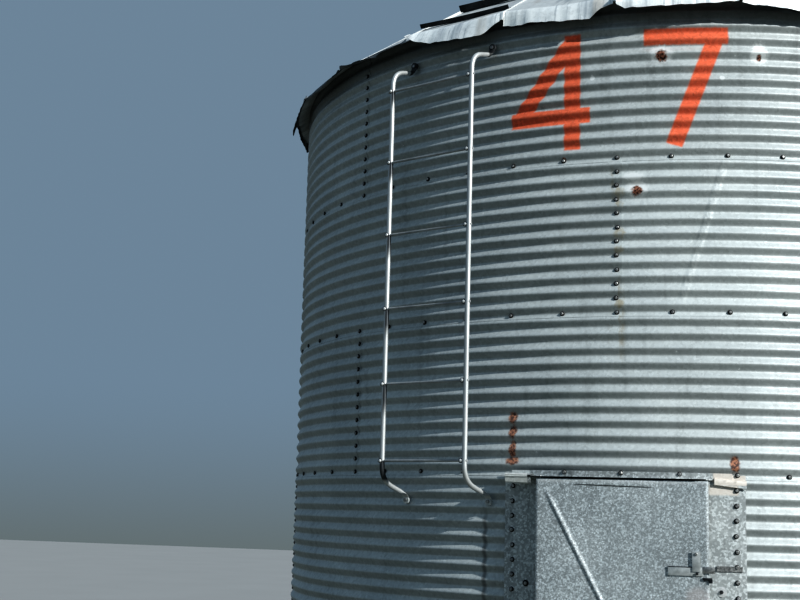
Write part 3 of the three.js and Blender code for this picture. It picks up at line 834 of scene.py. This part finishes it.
def wall_bolts():
    """The bolts along the laps of each ring, and those round the door frame."""
    tree = bolt_tree()
    common = {"Azimuth step": BOLT_ANGLE, "Height step": PITCH, "Radius": CREST - DEPTH + BOLT_SEAT,
              "Washer radius": WASHER_RADIUS, "Head radius": HEAD_RADIUS,
              "Washer material": RUBBER, "Head material": BOLT_ZINC}

    def rows(first, columns, low, count, seed, **more):
        """Bolts from a bolt space and a height in pitches on."""
        sizes = {"First azimuth": first * BOLT_ANGLE, "Columns": columns, "Lowest": low * PITCH,
                 "Rows": count, "Seed": seed}
        return grow("bolts", tree, {**common, **sizes, **more})

    for ring in range(1, RINGS + 1):
        in_doorway = ring <= DOORWAY_RINGS
        made = []
        if ring < RINGS:
            first, count = (3, BOLTS_ROUND - 5) if in_doorway else (0, BOLTS_ROUND)
            made.append(rows(first, count, ring * RING_PITCHES, 1, ring))
        for k in range(RING_SHEETS):
            bolt = first_seam(ring) + k * SHEET_BOLTS
            if not (in_doorway and bolt == 0):
                low = (ring - 1) * RING_PITCHES + 1
                made.append(rows(bolt, 1, low, RING_PITCHES - 1, 20 + ring * 5 + k))
        placed(smooth(joined(f"ring_{ring}_bolts", made), 30), "silo", "latch_steel")
    on_frame = {"Radius": FRAME_RADIUS + 0.0004, "Head radius": 0.0085}
    stop = {**on_frame, "Washer radius": 0.015}
    made = [
        rows(-1.90, 1, 1, 21, 60, **on_frame), rows(2.047, 1, 1, 21, 61, **on_frame),
        rows(FRAME_MIDDLE - 1, 4, 22, 1, 70, **on_frame), rows(-1.62, 1, 14.45, 1, 71, **stop),
    ]
    placed(smooth(joined("door_frame_bolts", made), 30), "silo", "latch_steel")


# The roof
# Each list is one panel's eave, torn and bent as it has aged. A point gives its azimuth in degrees and, in
# millimetres, its reach past the wall's crests and its fall below the wall's top edge.
EAVES = {
    -5: [(-72, 95, 112), (-68.5, 99, 126), (-65, 82, 85), (-61, 75, 58), (-57.7, 68, 30)],
    -4: [(-57.5, 88, 61), (-53.5, 88, 89), (-49, 88, 94), (-45.3, 88, 73), (-43.3, 86, 55)],
    -3: [(-43.1, 84, 25), (-41, 86, 51), (-37.5, 88, 60), (-34, 86, 82), (-33, 84, 62), (-30.2, 84, 60),
         (-28.9, 70, 34)],
    -2: [(-28.7, 86, 26), (-28.1, 86, 35), (-26.8, 84, 71), (-24.3, 80, 100), (-22.6, 78, 105),
         (-19.5, 72, 113), (-17.0, 64, 114), (-15.4, 50, 69), (-14.5, 42, 45)],
    -1: [(-14.3, 28, 73), (-13.0, 28, 84), (-10.3, 40, 83), (-6.6, 48, 101), (-2.9, 58, 109), (-1.9, 60, 66),
         (-0.6, 62, 46)],
    0: [(-0.3, 82, 44), (1.2, 80, 79), (6.6, 78, 76), (10.9, 80, 71), (14.0, 84, 62)],
    1: [(14.3, 82, 68), (15.4, 78, 75), (18.9, 74, 84), (21.3, 68, 95), (25.5, 80, 92), (27.9, 86, 74)],
}

# The share of a rib's height that is left at the eave and how far from the axis the loss starts and ends,
# by the number of its joint
CRUSHED_RIBS = {
    -4: (0.20, 1.60, 1.95), -3: (0.12, 1.30, 1.60), -2: (0.10, 1.30, 1.60), -1: (0.12, 1.60, 1.86),
}
WORN_RIB = (0.75, 1.90, 2.20)
DROOPING = {-5: 0.020, -4: 0.024, -3: 0.022}  # how far a panel hangs at its break
STATIONS = (0.25, 0.34, 0.55, 0.85, 1.15, 1.45, 1.70, 1.90, 2.00, 2.08, 2.14, 2.20, 2.24)
LIP_STEPS = (0.06, 0.16, 0.42, 0.72, 1.0)  # down the bent eave, as shares of it
PANELS_LEFT = 7  # panels are numbered from this many left of the middle


def slope_at(azimuth):
    """The ways out and aside at an azimuth, and the normal of a roof panel there."""
    out, side = around(azimuth, 1.0, 0.0), Vector((math.cos(azimuth), math.sin(azimuth), 0.0))
    return out, side, out * math.sin(PANEL_SLOPE) + UP * math.cos(PANEL_SLOPE)


def plane_height(distance):
    """Height of a flat panel at a distance from the axis."""
    return APEX - distance * math.tan(PANEL_SLOPE) + PANEL_LIFT


def eave_of(panel):
    """The eave of a panel, from the list or, out of sight, one that wanders in the same way."""
    if panel in EAVES:
        return EAVES[panel]
    chance = random.Random(500 + panel)
    start = math.degrees(panel * PANEL_ANGLE)
    points = []
    for k in range(6):
        edge = k in (0, 5)
        reach = chance.uniform(62, 84)
        fall = chance.uniform(26, 52) if edge else chance.uniform(50, 92)
        points.append((start + 0.1 + 14.2 * k / 5, reach, fall))
    return points


def rib_share(panel, across, distance):
    """How much is left of the height of the rib at a panel's left or right edge."""
    left, start, end = CRUSHED_RIBS.get(panel if across < 0 else panel + 1, WORN_RIB)
    return 1 - (1 - left) * ease(distance, start, end)


def panel_profile(half):
    """(across, up) points of a roof panel's section, from its inner left edge to its outer right one."""
    left = [(-half + 0.0055, 0.024), (-half + 0.0068, 0.002), (-half + 0.010, 0.0)]
    flat = [((half - 0.011) * (-1 + 2 * k / 30), 0.0) for k in range(1, 30)]
    right = [
        (half - 0.011, 0.0), (half - 0.0085, 0.002), (half - 0.0072, 0.0255), (half - 0.0055, RIB),
        (half + 0.0055, RIB), (half + 0.0072, 0.0255), (half + 0.0085, 0.006),
    ]
    return left + flat + right


def crinkle(azimuth):
    """Small folds along an eave, at an azimuth in degrees."""
    return 0.0016 * math.sin(azimuth * 2.3) + 0.0014 * math.sin(azimuth * 4.9 + 1.0) * math.sin(azimuth * 0.8)


def slope_rows(panel, bend):
    """Rows of points down a panel to its break, with its sag and the dents in it."""
    out, side, normal = slope_at((panel + 0.5) * PANEL_ANGLE)
    chance = random.Random(700 + panel)
    sag = chance.uniform(0.004, 0.012)
    lean = chance.uniform(-1.0, 1.0)
    grid = []
    for distance in (*STATIONS, bend):
        row = []
        half = distance * math.tan(PANEL_ANGLE / 2)
        for across, up in panel_profile(half):
            share = across / half
            dip = sag * math.sin(math.pi * ease(distance, 0.6, bend)) * (1 - share * share)
            dip += 0.0016 * math.sin(across * 17 + distance * 5 + lean * 3) * ease(distance, 0.6, 1.5)
            dip += DROOPING.get(panel, 0.0) * ease(distance, 1.75, bend)
            lift = up * rib_share(panel, across, distance)
            flat = out * distance + side * across + normal * lift
            row.append(flat + UP * (plane_height(distance) - dip))
        grid.append(row)
    return grid


def eave_rows(panel, bend, eave, edge):
    """Rows of points down a panel's bent eave, from the row at its break."""
    out, _, normal = slope_at((panel + 0.5) * PANEL_ANGLE)
    profile = panel_profile(bend * math.tan(PANEL_ANGLE / 2))
    grid = []
    for step in LIP_STEPS:
        row = []
        curl = step ** 0.55
        for point, (across, up) in zip(edge, profile):
            azimuth = math.degrees(math.atan2(point.x, -point.y))
            azimuth = eave[0, 0] + (azimuth - eave[0, 0] + 180) % 360 - 180
            reach = np.interp(azimuth, eave[:, 0], eave[:, 1]) / 1000 + crinkle(azimuth * 1.6 + panel)
            fall = np.interp(azimuth, eave[:, 0], eave[:, 2]) / 1000 + crinkle(azimuth + panel)
            foot = around(math.radians(azimuth), CAD_CREST + reach, WALL_TOP - fall)
            foot += normal * up * rib_share(panel, across, bend) * 0.6
            place = point.lerp(foot, step)
            place.x = point.x + (foot.x - point.x) * curl
            place.y = point.y + (foot.y - point.y) * curl
            place += out * crinkle(azimuth * 0.6 + panel * 3.0) * 0.6 * math.sin(math.pi * step)
            row.append(place)
        grid.append(row)
    return grid


def roof_panel(panel):
    eave = np.array(eave_of(panel))
    bend = FAR_BREAK_RADIUS if min(eave[:, 1]) > FAR_REACH else BREAK_RADIUS
    grid = slope_rows(panel, bend)
    grid += eave_rows(panel, bend, eave, grid[-1])
    return face_outwards(patch("panel", [row[::-1] for row in grid], ROOF_ZINC, ROOF_GAUGE, 0.0))


def keep_in_box(thing):
    """Bends in what reaches past the box of the CAD model."""
    low, high = cad_box
    inset = 0.0006
    for vertex in thing.data.vertices:
        vertex.co.x = min(max(vertex.co.x, low.x + inset), high.x - inset)
        vertex.co.y = min(max(vertex.co.y, low.y + inset), high.y - inset)


def roof():
    share = PANELS // SECTORS
    for sector in range(1, SECTORS + 1):
        numbers = [((sector - 1) * share + k + PANELS_LEFT) % PANELS - PANELS_LEFT for k in range(share)]
        whole = joined(f"roof_panels_{sector}", [roof_panel(number) for number in numbers])
        keep_in_box(whole)
        placed(whole, "silo", "roof_steel", f"roof_sector_{sector}")


# Each step's leg, the heights of its left and right end over the panel and how far its right end slid down
STEP_SEAT = (0.030, RIB, RIB, 0.0)
STEP_ENDS = {1: (0.024, 0.008, -0.001, 0.034), 2: (0.038, 0.001, 0.004, 0.0)}


def roof_steps():
    """Bars of angle steel across the panel above the ladder."""
    out, side, normal = slope_at(-1.5 * PANEL_ANGLE)
    down = (out * math.cos(PANEL_SLOPE) - UP * math.sin(PANEL_SLOPE)).normalized()
    thick, root = 0.003, 0.004
    for number in range(1, ROOF_STEPS + 1):
        leg, left, right, slide = STEP_ENDS.get(number, STEP_SEAT)
        section = [
            (0, 0.0), (0, leg), (-thick, leg), (-thick, thick + root), (-thick - root, thick),
            (-leg, thick), (-leg, 0), (-root, 0), (-0.001, 0.001),
        ]
        distance = STEP_RADIUS - (number - 1) * STEP_SPACING
        half = distance * math.tan(PANEL_ANGLE / 2) + 0.010
        middle = out * distance + UP * (plane_height(distance) + 0.003)
        rings = []
        for k in range(9):
            share = -1 + k / 4
            seat = left + (right - left) * (share + 1) / 2 - 0.004 * (1 - share * share)
            place = middle + side * half * share + normal * seat + down * slide * (share + 1) / 2
            rings.append([place + down * a + normal * b for a, b in section])
        thing = smooth(swept(f"roof_step_{number}_angle", rings, SHADED_STEP_STEEL), 30)
        placed(thing, "silo", "roof_steel", f"roof_step_{number}")


def roof_cap():
    """The lid over the peak, a flat cone with a rolled rim and a pressed ring."""
    low, high, sides = 0.0085, 0.0140, 50
    # distance from the axis and lift over the roof's slope
    profile = [
        (0.0, high), (0.05, high), (0.16, high - 0.001), (0.175, high + 0.002), (0.19, high - 0.001),
        (0.30, high), (0.320, high + 0.003), (CAP_RADIUS, high), (CAP_RADIUS, low), (0.318, low),
        (0.10, low), (0.0, low),
    ]
    points = []
    for r, lift in profile:
        points += [around(TURN * k / sides, r, APEX - r * RISE + lift) for k in range(sides)]
    lid = built("roof_lid", points, ring_faces(len(profile), sides), ROOF_ZINC)
    placed(smooth(face_outwards(lid, weld=True), 30), "silo", "roof_steel", "roof_cap")


# The door frame
def curved_strip(a0, a1, z0, z1, radius=FRAME_RADIUS, material=FRAME_ZINC, gauge=FRAME_GAUGE,
                 wobble=0.0008):
    """A flat sheet bent round the wall's crests, between two azimuths in bolt spaces."""
    columns = max(2, round((a1 - a0) * BOLT_ANGLE * radius / 0.02))
    rows = max(2, round((z1 - z0) / 0.03))
    grid = []
    for i in range(rows + 1):
        z = z0 + (z1 - z0) * i / rows
        row = []
        for k in range(columns + 1):
            azimuth = (a0 + (a1 - a0) * k / columns) * BOLT_ANGLE
            bend = wobble * math.sin(z * 23 + azimuth * 40) * math.sin(z * 9)
            row.append(around(azimuth, radius - wobble + bend, z))
        grid.append(row)
    return patch("strip", grid, material, gauge)


def frame_return(side):
    """The sheet that lines one side of the doorway."""
    azimuth = (FRAME_MIDDLE + side * 1.25) * BOLT_ANGLE
    depths = list(np.linspace(2.236, FRAME_RADIUS - FRAME_GAUGE, 5))
    if side > 0:
        depths.reverse()
    grid = [[around(azimuth, r, z) for r in depths] for z in np.linspace(FLOOR_TOP, FRAME_TOP, 30)]
    return patch("return", grid, FRAME_ZINC, FRAME_GAUGE)


def lip(x0, x1, z):
    """A flat lip that stands out from the frame, between two distances aside."""
    root = FRAME_RADIUS - 0.004
    grid = [[], []]
    for x in np.linspace(x0, x1, 30):
        inner = math.sqrt(root * root - x * x)
        outer = LIP_FACE + (inner + 0.006 - LIP_FACE) * ease(x, 0.385, 0.430)
        grid[0].append(Vector((x, -outer, z)))
        grid[1].append(Vector((x, -inner, z)))
    return patch("lip", grid, FRAME_ZINC, FRAME_GAUGE)


def header_end(x0, x1, lows, highs, lean, flat):
    """A folded end of the header: an upright face whose edges slope, and a flange back to the frame."""
    steps = 12
    root = FRAME_RADIUS - 0.002
    grid = []
    for share, depth in ((0.0, 0.006 + lean), (0.08, lean), (0.5, lean / 2), (0.9, 0.0), (1.0, 0.002)):
        row = []
        for k in range(steps + 1):
            t = k / steps
            low = lows[0] + (lows[1] - lows[0]) * t
            high = highs[0] + (highs[1] - highs[0]) * t
            dent = 0.0015 * math.sin(t * 9 + share * 4)
            x = x0 + (x1 - x0) * t
            face = LIP_FACE + 0.0005 if flat else math.sqrt(root * root - x * x) + 0.016
            row.append(Vector((x, -face + depth + abs(dent), low + (high - low) * share)))
        grid.append(row)
    grid.append([Vector((p.x, -math.sqrt(root * root - p.x * p.x), p.z + 0.004)) for p in grid[-1]])
    return patch("header_end", grid, FRAME_ZINC, 0.0022)


def door_frame():
    side, edge, middle = 2.128, 1.22, FRAME_MIDDLE
    pivot = DOOR_LEFT + 0.015
    parts = [
        curved_strip(middle - side, middle - edge, FLOOR_TOP, FRAME_TOP),
        curved_strip(middle + edge, middle + side, FLOOR_TOP, FRAME_TOP),
        curved_strip(middle - 2.0, middle + 1.9, 1.472, HEADER_TOP, FRAME_RADIUS + 0.0028),
        curved_strip(middle - 1.30, middle + 1.30, FLOOR_TOP, 0.048, FRAME_RADIUS + 0.0005),
        frame_return(-1),
        frame_return(1),
        lip(-0.514, 0.500, LIP_HEIGHT),
        lip(pivot - 0.035, pivot + 0.035, 0.0475),
        header_end(-0.513, -0.392, (1.443, 1.440), (1.486, 1.483), 0.010, True),
        header_end(0.436, 0.576, (1.449, 1.433), (1.479, 1.469), 0.0, False),
    ]
    placed(joined("door_frame_sheet", parts), "silo", "door_steel", "door_frame")


# The door
CREASE_FROM, CREASE_TO = Vector((-0.308, 1.388)), Vector((0.394, 0.040))


def door_skin():
    """The door's face, with a rolled crease from corner to corner and a hem along its top."""
    columns, rows = 150, 230
    run = CREASE_TO - CREASE_FROM
    grid = []
    for z in np.linspace(DOOR_LOW, DOOR_HIGH, rows + 1):
        row = []
        for x in np.linspace(DOOR_LEFT, DOOR_RIGHT, columns + 1):
            t = (Vector((x, z)) - CREASE_FROM).dot(run) / run.length_squared
            aside = ((x - CREASE_FROM.x) * run.y - (z - CREASE_FROM.y) * run.x) / run.length
            strength = ease(t, -0.03, 0.03) * (1 - ease(t, 0.90, 1.0))
            ridge = CREASE_RISE * strength * math.exp(-((aside / CREASE_HALF) ** 2))
            hem = HEM_RISE * ease(x, -0.20, -0.12) * (1 - ease(x, 0.10, 0.20)) * ease(z, 1.4350, 1.4400)
            edge = min(x - DOOR_LEFT, DOOR_RIGHT - x, z - DOOR_LOW, DOOR_HIGH - z)
            belly = BELLY * math.sin(x * 6.1 + 1.0) * math.sin(z * 4.3 + 0.4) * ease(edge, 0.0, 0.12)
            round_edge = EDGE_ROUND * (1 - ease(edge, -0.002, 0.006))
            row.append(Vector((x, -DOOR_FACE + round_edge - ridge - hem - belly, z)))
        grid.append(row)
    return patch("skin", grid, DOOR_ZINC, DOOR_GAUGE)


def door_edges():
    """The four sides of the door, each with its narrow turn behind the face."""
    steps, turn = 24, 0.018
    back = -DOOR_FACE + DOOR_DEPTH
    centre = Vector((DOOR_MIDDLE, back, (DOOR_LOW + DOOR_HIGH) / 2))
    narrow, short = 1 - turn / DOOR_HALF, 1 - turn / ((DOOR_HIGH - DOOR_LOW) / 2)
    ring = [(DOOR_LEFT, DOOR_LOW), (DOOR_RIGHT, DOOR_LOW), (DOOR_RIGHT, DOOR_HIGH), (DOOR_LEFT, DOOR_HIGH)]
    parts = []
    for (x0, z0), (x1, z1) in zip(ring, ring[1:] + ring[:1]):
        rows = []
        for y in (-DOOR_FACE + EDGE_ROUND, -DOOR_FACE + 0.012, back):
            rows.append([Vector((x0 + (x1 - x0) * i / steps, y, z0 + (z1 - z0) * i / steps))
                         for i in range(steps + 1)])
        shrunk = [Vector((centre.x + (p.x - centre.x) * narrow, back, centre.z + (p.z - centre.z) * short))
                  for p in rows[-1]]
        parts.append(patch("side", rows, DOOR_ZINC, DOOR_GAUGE))
        parts.append(patch("turn", [rows[-1], shrunk], DOOR_ZINC, DOOR_GAUGE))
    return parts


def door_panel():
    placed(joined("door_sheet", [door_skin(), *door_edges()]), "door", "door_steel", "door_panel")


def plate(x0, x1, z0, z1, face, material, thick):
    """A flat bevelled plate whose outer face is at a distance from the axis."""
    corners = [(x0, -face, z0), (x1, -face, z0), (x1, -face, z1), (x0, -face, z1)]
    back = [(x, y + thick, z) for x, y, z in corners]
    faces = [(0, 1, 2, 3), (7, 6, 5, 4), (0, 4, 5, 1), (1, 5, 6, 2), (2, 6, 7, 3), (3, 7, 4, 0)]
    thing = face_outwards(built("plate", corners + back, faces, material))
    edge = thing.modifiers.new("edge", "BEVEL")
    edge.width = 0.0008
    edge.segments = 2
    return smooth(settle(thing), 30)


def disc(x, z, face, radius, depth, material, sides=20):
    """A round head or washer that stands out from a flat face."""
    rings = [(radius, 0.0), (radius, depth * 0.7), (radius * 0.75, depth), (radius * 0.3, depth)]
    points = [Vector((x, -face, z))]
    for r, out in rings:
        for k in range(sides):
            cosine, sine = circle(k, sides)
            points.append(Vector((x + r * cosine, -face - out, z + r * sine)))
    points.append(Vector((x, -face - depth, z)))
    faces = ring_faces(len(rings), sides, 1)
    top = 1 + (len(rings) - 1) * sides
    for k in range(sides):
        after = (k + 1) % sides
        faces.append((0, 1 + after, 1 + k))
        faces.append((top + k, top + after, len(points) - 1))
    return smooth(face_outwards(built("disc", points, faces, material)), 35)


def door_latch():
    """The strap on the door with a dark plate along its top that is a painted shadow, the tab, the hasp, the
    bar, its hook and two bolts.
    """
    face = DOOR_FACE
    parts = [
        plate(0.232, 0.386, 1.047, 1.086, face + 0.0045, LATCH_STEEL, 0.004),
        # painted shadow: a thin dark plate along the strap's top edge stands in for the shadow under its
        # rolled edge
        plate(0.230, 0.372, 1.0835, 1.0870, face + 0.0052, DARK_STEEL_AND_SHADOW, 0.004),
        plate(0.338, 0.374, 1.066, 1.155, face + 0.0085, LATCH_STEEL, 0.003),
        plate(0.383, 0.437, 1.060, 1.088, face + 0.0050, BOLT_ZINC, 0.004),
        plate(0.384, 0.424, 1.030, 1.041, face + 0.0060, DARK_STEEL_AND_SHADOW, 0.006),
        plate(0.410, 0.426, 1.018, 1.036, face + 0.0058, DARK_STEEL_AND_SHADOW, 0.006),
        disc(0.3555, 1.143, face + 0.0084, 0.0065, 0.0045, BOLT_ZINC),
        disc(0.3600, 1.0585, face + 0.0084, 0.0060, 0.0040, DARK_STEEL_AND_SHADOW),
    ]
    placed(joined("door_latch_hasp", parts), "door", "latch_steel", "door_latch")


def latch_keeper():
    """The strap on the frame behind the hasp, and the stop bolt with its washer below."""
    x, z = 0.461, 0.9785
    face = math.sqrt(FRAME_RADIUS ** 2 - x * x) + 0.0006
    parts = [
        curved_strip(1.70, 2.14, 1.068, 1.092, FRAME_RADIUS + 0.004, BOLT_ZINC, 0.0035, 0.0),
        disc(x, z, face, 0.0225, 0.0030, NUT_ZINC),
        disc(x, z, face + 0.0025, 0.0090, 0.0070, DARK_STEEL_AND_SHADOW, 6),
    ]
    placed(joined("latch_keeper_strap", parts), "silo", "latch_steel", "latch_keeper")


# The ladder
def ladder_place(across, radius, z):
    return around(LADDER_AZIMUTH, radius, z) + LADDER_SIDE * across


def bent_path(corners, bends):
    """Points along straight runs with a round bend at each corner between them."""
    steps = 10
    points = [corners[0]]
    for before, corner, after, bend in zip(corners, corners[1:], corners[2:], bends):
        start = corner + (before - corner).normalized() * bend
        end = corner + (after - corner).normalized() * bend
        for k in range(steps + 1):
            t = k / steps
            points.append(start * (1 - t) ** 2 + corner * 2 * t * (1 - t) + end * t * t)
    points.append(corners[-1])
    return points


def evenly(points, spacing):
    """The same line with a point at least every so often."""
    out = [points[0]]
    for a, b in zip(points, points[1:]):
        count = max(1, round((b - a).length / spacing))
        out += [a.lerp(b, (k + 1) / count) for k in range(count)]
    return out


def tube(points, size, side, material, sides):
    """A bar along points. size(place, total) gives its half width along side and its half thickness."""
    lengths = [0.0]
    for a, b in zip(points, points[1:]):
        lengths.append(lengths[-1] + (b - a).length)
    corners = [circle(i, sides) for i in range(sides)]
    rings = []
    for k, point in enumerate(points):
        ahead = points[min(k + 1, len(points) - 1)] - points[max(k - 1, 0)]
        up = ahead.normalized().cross(side).normalized()
        wide, thin = size(lengths[k], lengths[-1])
        rings.append([point + side * wide * cosine + up * thin * sine for cosine, sine in corners])
    return smooth(swept("tube", rings, material), 40)


def even(radius):
    """The size of a bar that is as thick all along."""
    return lambda place, total: (radius, radius)


def pressed_ends(place, total):
    """The size of a stile, round along its length and pressed flat at both ends where it is bolted."""
    flat = 1 - ease(min(place, total - place), FLAT_RUN * 0.6, FLAT_RUN)
    return TUBE + 0.0055 * flat, TUBE - 0.0095 * flat


def dome_size(place, total):
    """The size of a round head that closes towards its end."""
    size = NUT_RADIUS * math.sqrt(max(1 - (place / total) ** 2, 0.02))
    return size, size


def stub(across, z, start, end, radius, side, material, sides):
    """A washer or bolt head that points away from the silo's axis."""
    ends = [ladder_place(across, start, z), ladder_place(across, end, z)]
    return tube(ends, even(radius), side, material, sides)


def stiles():
    side = LADDER_SIDE
    for name, across in (("left", -LADDER_HALF), ("right", LADDER_HALF)):
        wall = math.sqrt(CAD_CREST ** 2 - across ** 2) + 0.004
        foot = across + 0.018
        corners = [
            ladder_place(foot, wall, 1.348), ladder_place(foot, wall + 0.010, 1.378),
            ladder_place(across, LADDER_RADIUS, 1.442), ladder_place(across, LADDER_RADIUS, 3.530),
            ladder_place(across, wall + 0.018, 3.574), ladder_place(across, wall, 3.622),
        ]
        points = evenly(bent_path(corners, (0.018, 0.075, 0.078, 0.024)), 0.02)
        parts = [tube(points, pressed_ends, side, TUBE_ZINC, 16)]
        for end, z, washer in ((foot, 1.352, LATCH_STEEL), (across, 3.616, DARK_STEEL_AND_SHADOW)):
            parts.append(stub(end, z, wall - 0.004, wall + 0.009, 0.0185, side, washer, 14))
            parts.append(stub(end, z, wall + 0.009, wall + 0.015, 0.0090, side, BOLT_ZINC, 6))
        placed(joined(f"ladder_stile_{name}_tube", parts), "silo", "ladder_steel", f"ladder_stile_{name}")


def rungs():
    """Each rod with a washer and a round nut on the front of both stiles."""
    nuts = [(-LADDER_HALF - 0.004, LADDER_RADIUS + TUBE), (LADDER_HALF - 0.0165, LADDER_RADIUS + 0.0095)]
    for number in range(1, RUNGS + 1):
        z = RUNG_HIGH - (number - 1) * RUNG_STEP
        ends = [ladder_place(-LADDER_HALF - 0.024, LADDER_RADIUS, z),
                ladder_place(LADDER_HALF + TUBE + 0.002, LADDER_RADIUS, z)]
        parts = [tube(evenly(ends, 0.06), even(ROD_RADIUS), UP, ROD_STEEL, 12)]
        for across, front in nuts:
            parts.append(stub(across, z, front - 0.004, front, 0.0120, UP, DARK_STEEL_AND_SHADOW, 14))
            dome = [ladder_place(across, front + k * 0.0012, z) for k in range(6)]
            parts.append(tube(dome, dome_size, UP, NUT_ZINC, 12))
        placed(joined(f"ladder_rung_{number}_rod", parts), "silo", "ladder_steel", f"ladder_rung_{number}")


def carried_over():
    """What stays of the CAD model gets its material."""
    finishes = {"bottom_plate": PLATE_STEEL, "hinge_pin_top": LATCH_STEEL, "hinge_pin_bottom": LATCH_STEEL}
    for name, material in finishes.items():
        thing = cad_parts[name]
        thing.data.materials.clear()
        thing.data.materials.append(material)


# The stage
def camera():
    forward = Vector((math.sin(CAMERA_YAW) * math.cos(CAMERA_PITCH),
                      math.cos(CAMERA_YAW) * math.cos(CAMERA_PITCH), math.sin(CAMERA_PITCH)))
    level = Vector((math.cos(CAMERA_YAW), -math.sin(CAMERA_YAW), 0))
    upright = level.cross(forward)
    right = level * math.cos(CAMERA_ROLL) + upright * math.sin(CAMERA_ROLL)
    up = upright * math.cos(CAMERA_ROLL) - level * math.sin(CAMERA_ROLL)
    data = bpy.data.cameras.new("camera")
    data.lens = LENS
    data.sensor_width = 36
    data.clip_end = 200
    eye = new_object("camera", data)
    eye.matrix_world = Matrix.Translation(CAMERA_PLACE) @ Matrix((right, up, -forward)).transposed().to_4x4()
    bpy.context.scene.camera = eye


def lights():
    data = bpy.data.lights.new("key", "SUN")
    data.energy = SUN_POWER
    data.angle = math.radians(0.8)
    data.color = (1.0, 1.0, 0.97)
    key = new_object("key", data)
    key.rotation_mode = "QUATERNION"
    toward = around(SUN_AZIMUTH, math.cos(SUN_HEIGHT), math.sin(SUN_HEIGHT))
    key.rotation_quaternion = toward.to_track_quat("Z", "Y")
    world = bpy.data.worlds.new("studio")
    world.use_nodes = True
    s = Sketch(world.node_tree)
    height = s.apart(s.add("ShaderNodeTexCoord", {}, {}, "Generated"))[2]
    soft = s.mix(height.smooth(-0.10, 0.10), FLOOR_GLOW, SKY_GLOW)
    s.fill(world.node_tree.nodes["Background"], "Color", soft)
    bpy.context.scene.world = world
    bpy.context.scene.view_settings.view_transform = "Standard"
    bpy.context.scene.view_settings.look = "Very High Contrast"


def floor():
    s, place = new_material("studio_floor")
    mottle = s.noise(place, 0.8, 3.0, 0.5)
    material = finished(s, s.mix(mottle, (0.36, 0.36, 0.355), (0.40, 0.40, 0.395)), 0.0, 0.9)
    reach = 30.0
    corners = [(-reach, -reach, 0), (reach, -reach, 0), (reach, reach, 0), (-reach, reach, 0)]
    ground = built("floor", corners, [(0, 1, 2, 3)], material)
    # the soft light from below comes from the world, so the floor throws none of its own
    ground.visible_diffuse = False
    ground.visible_glossy = False


camera()
lights()
floor()
wall_rings()
wall_bolts()
roof()
roof_steps()
roof_cap()
door_frame()
door_panel()
door_latch()
latch_keeper()
stiles()
rungs()
carried_over()
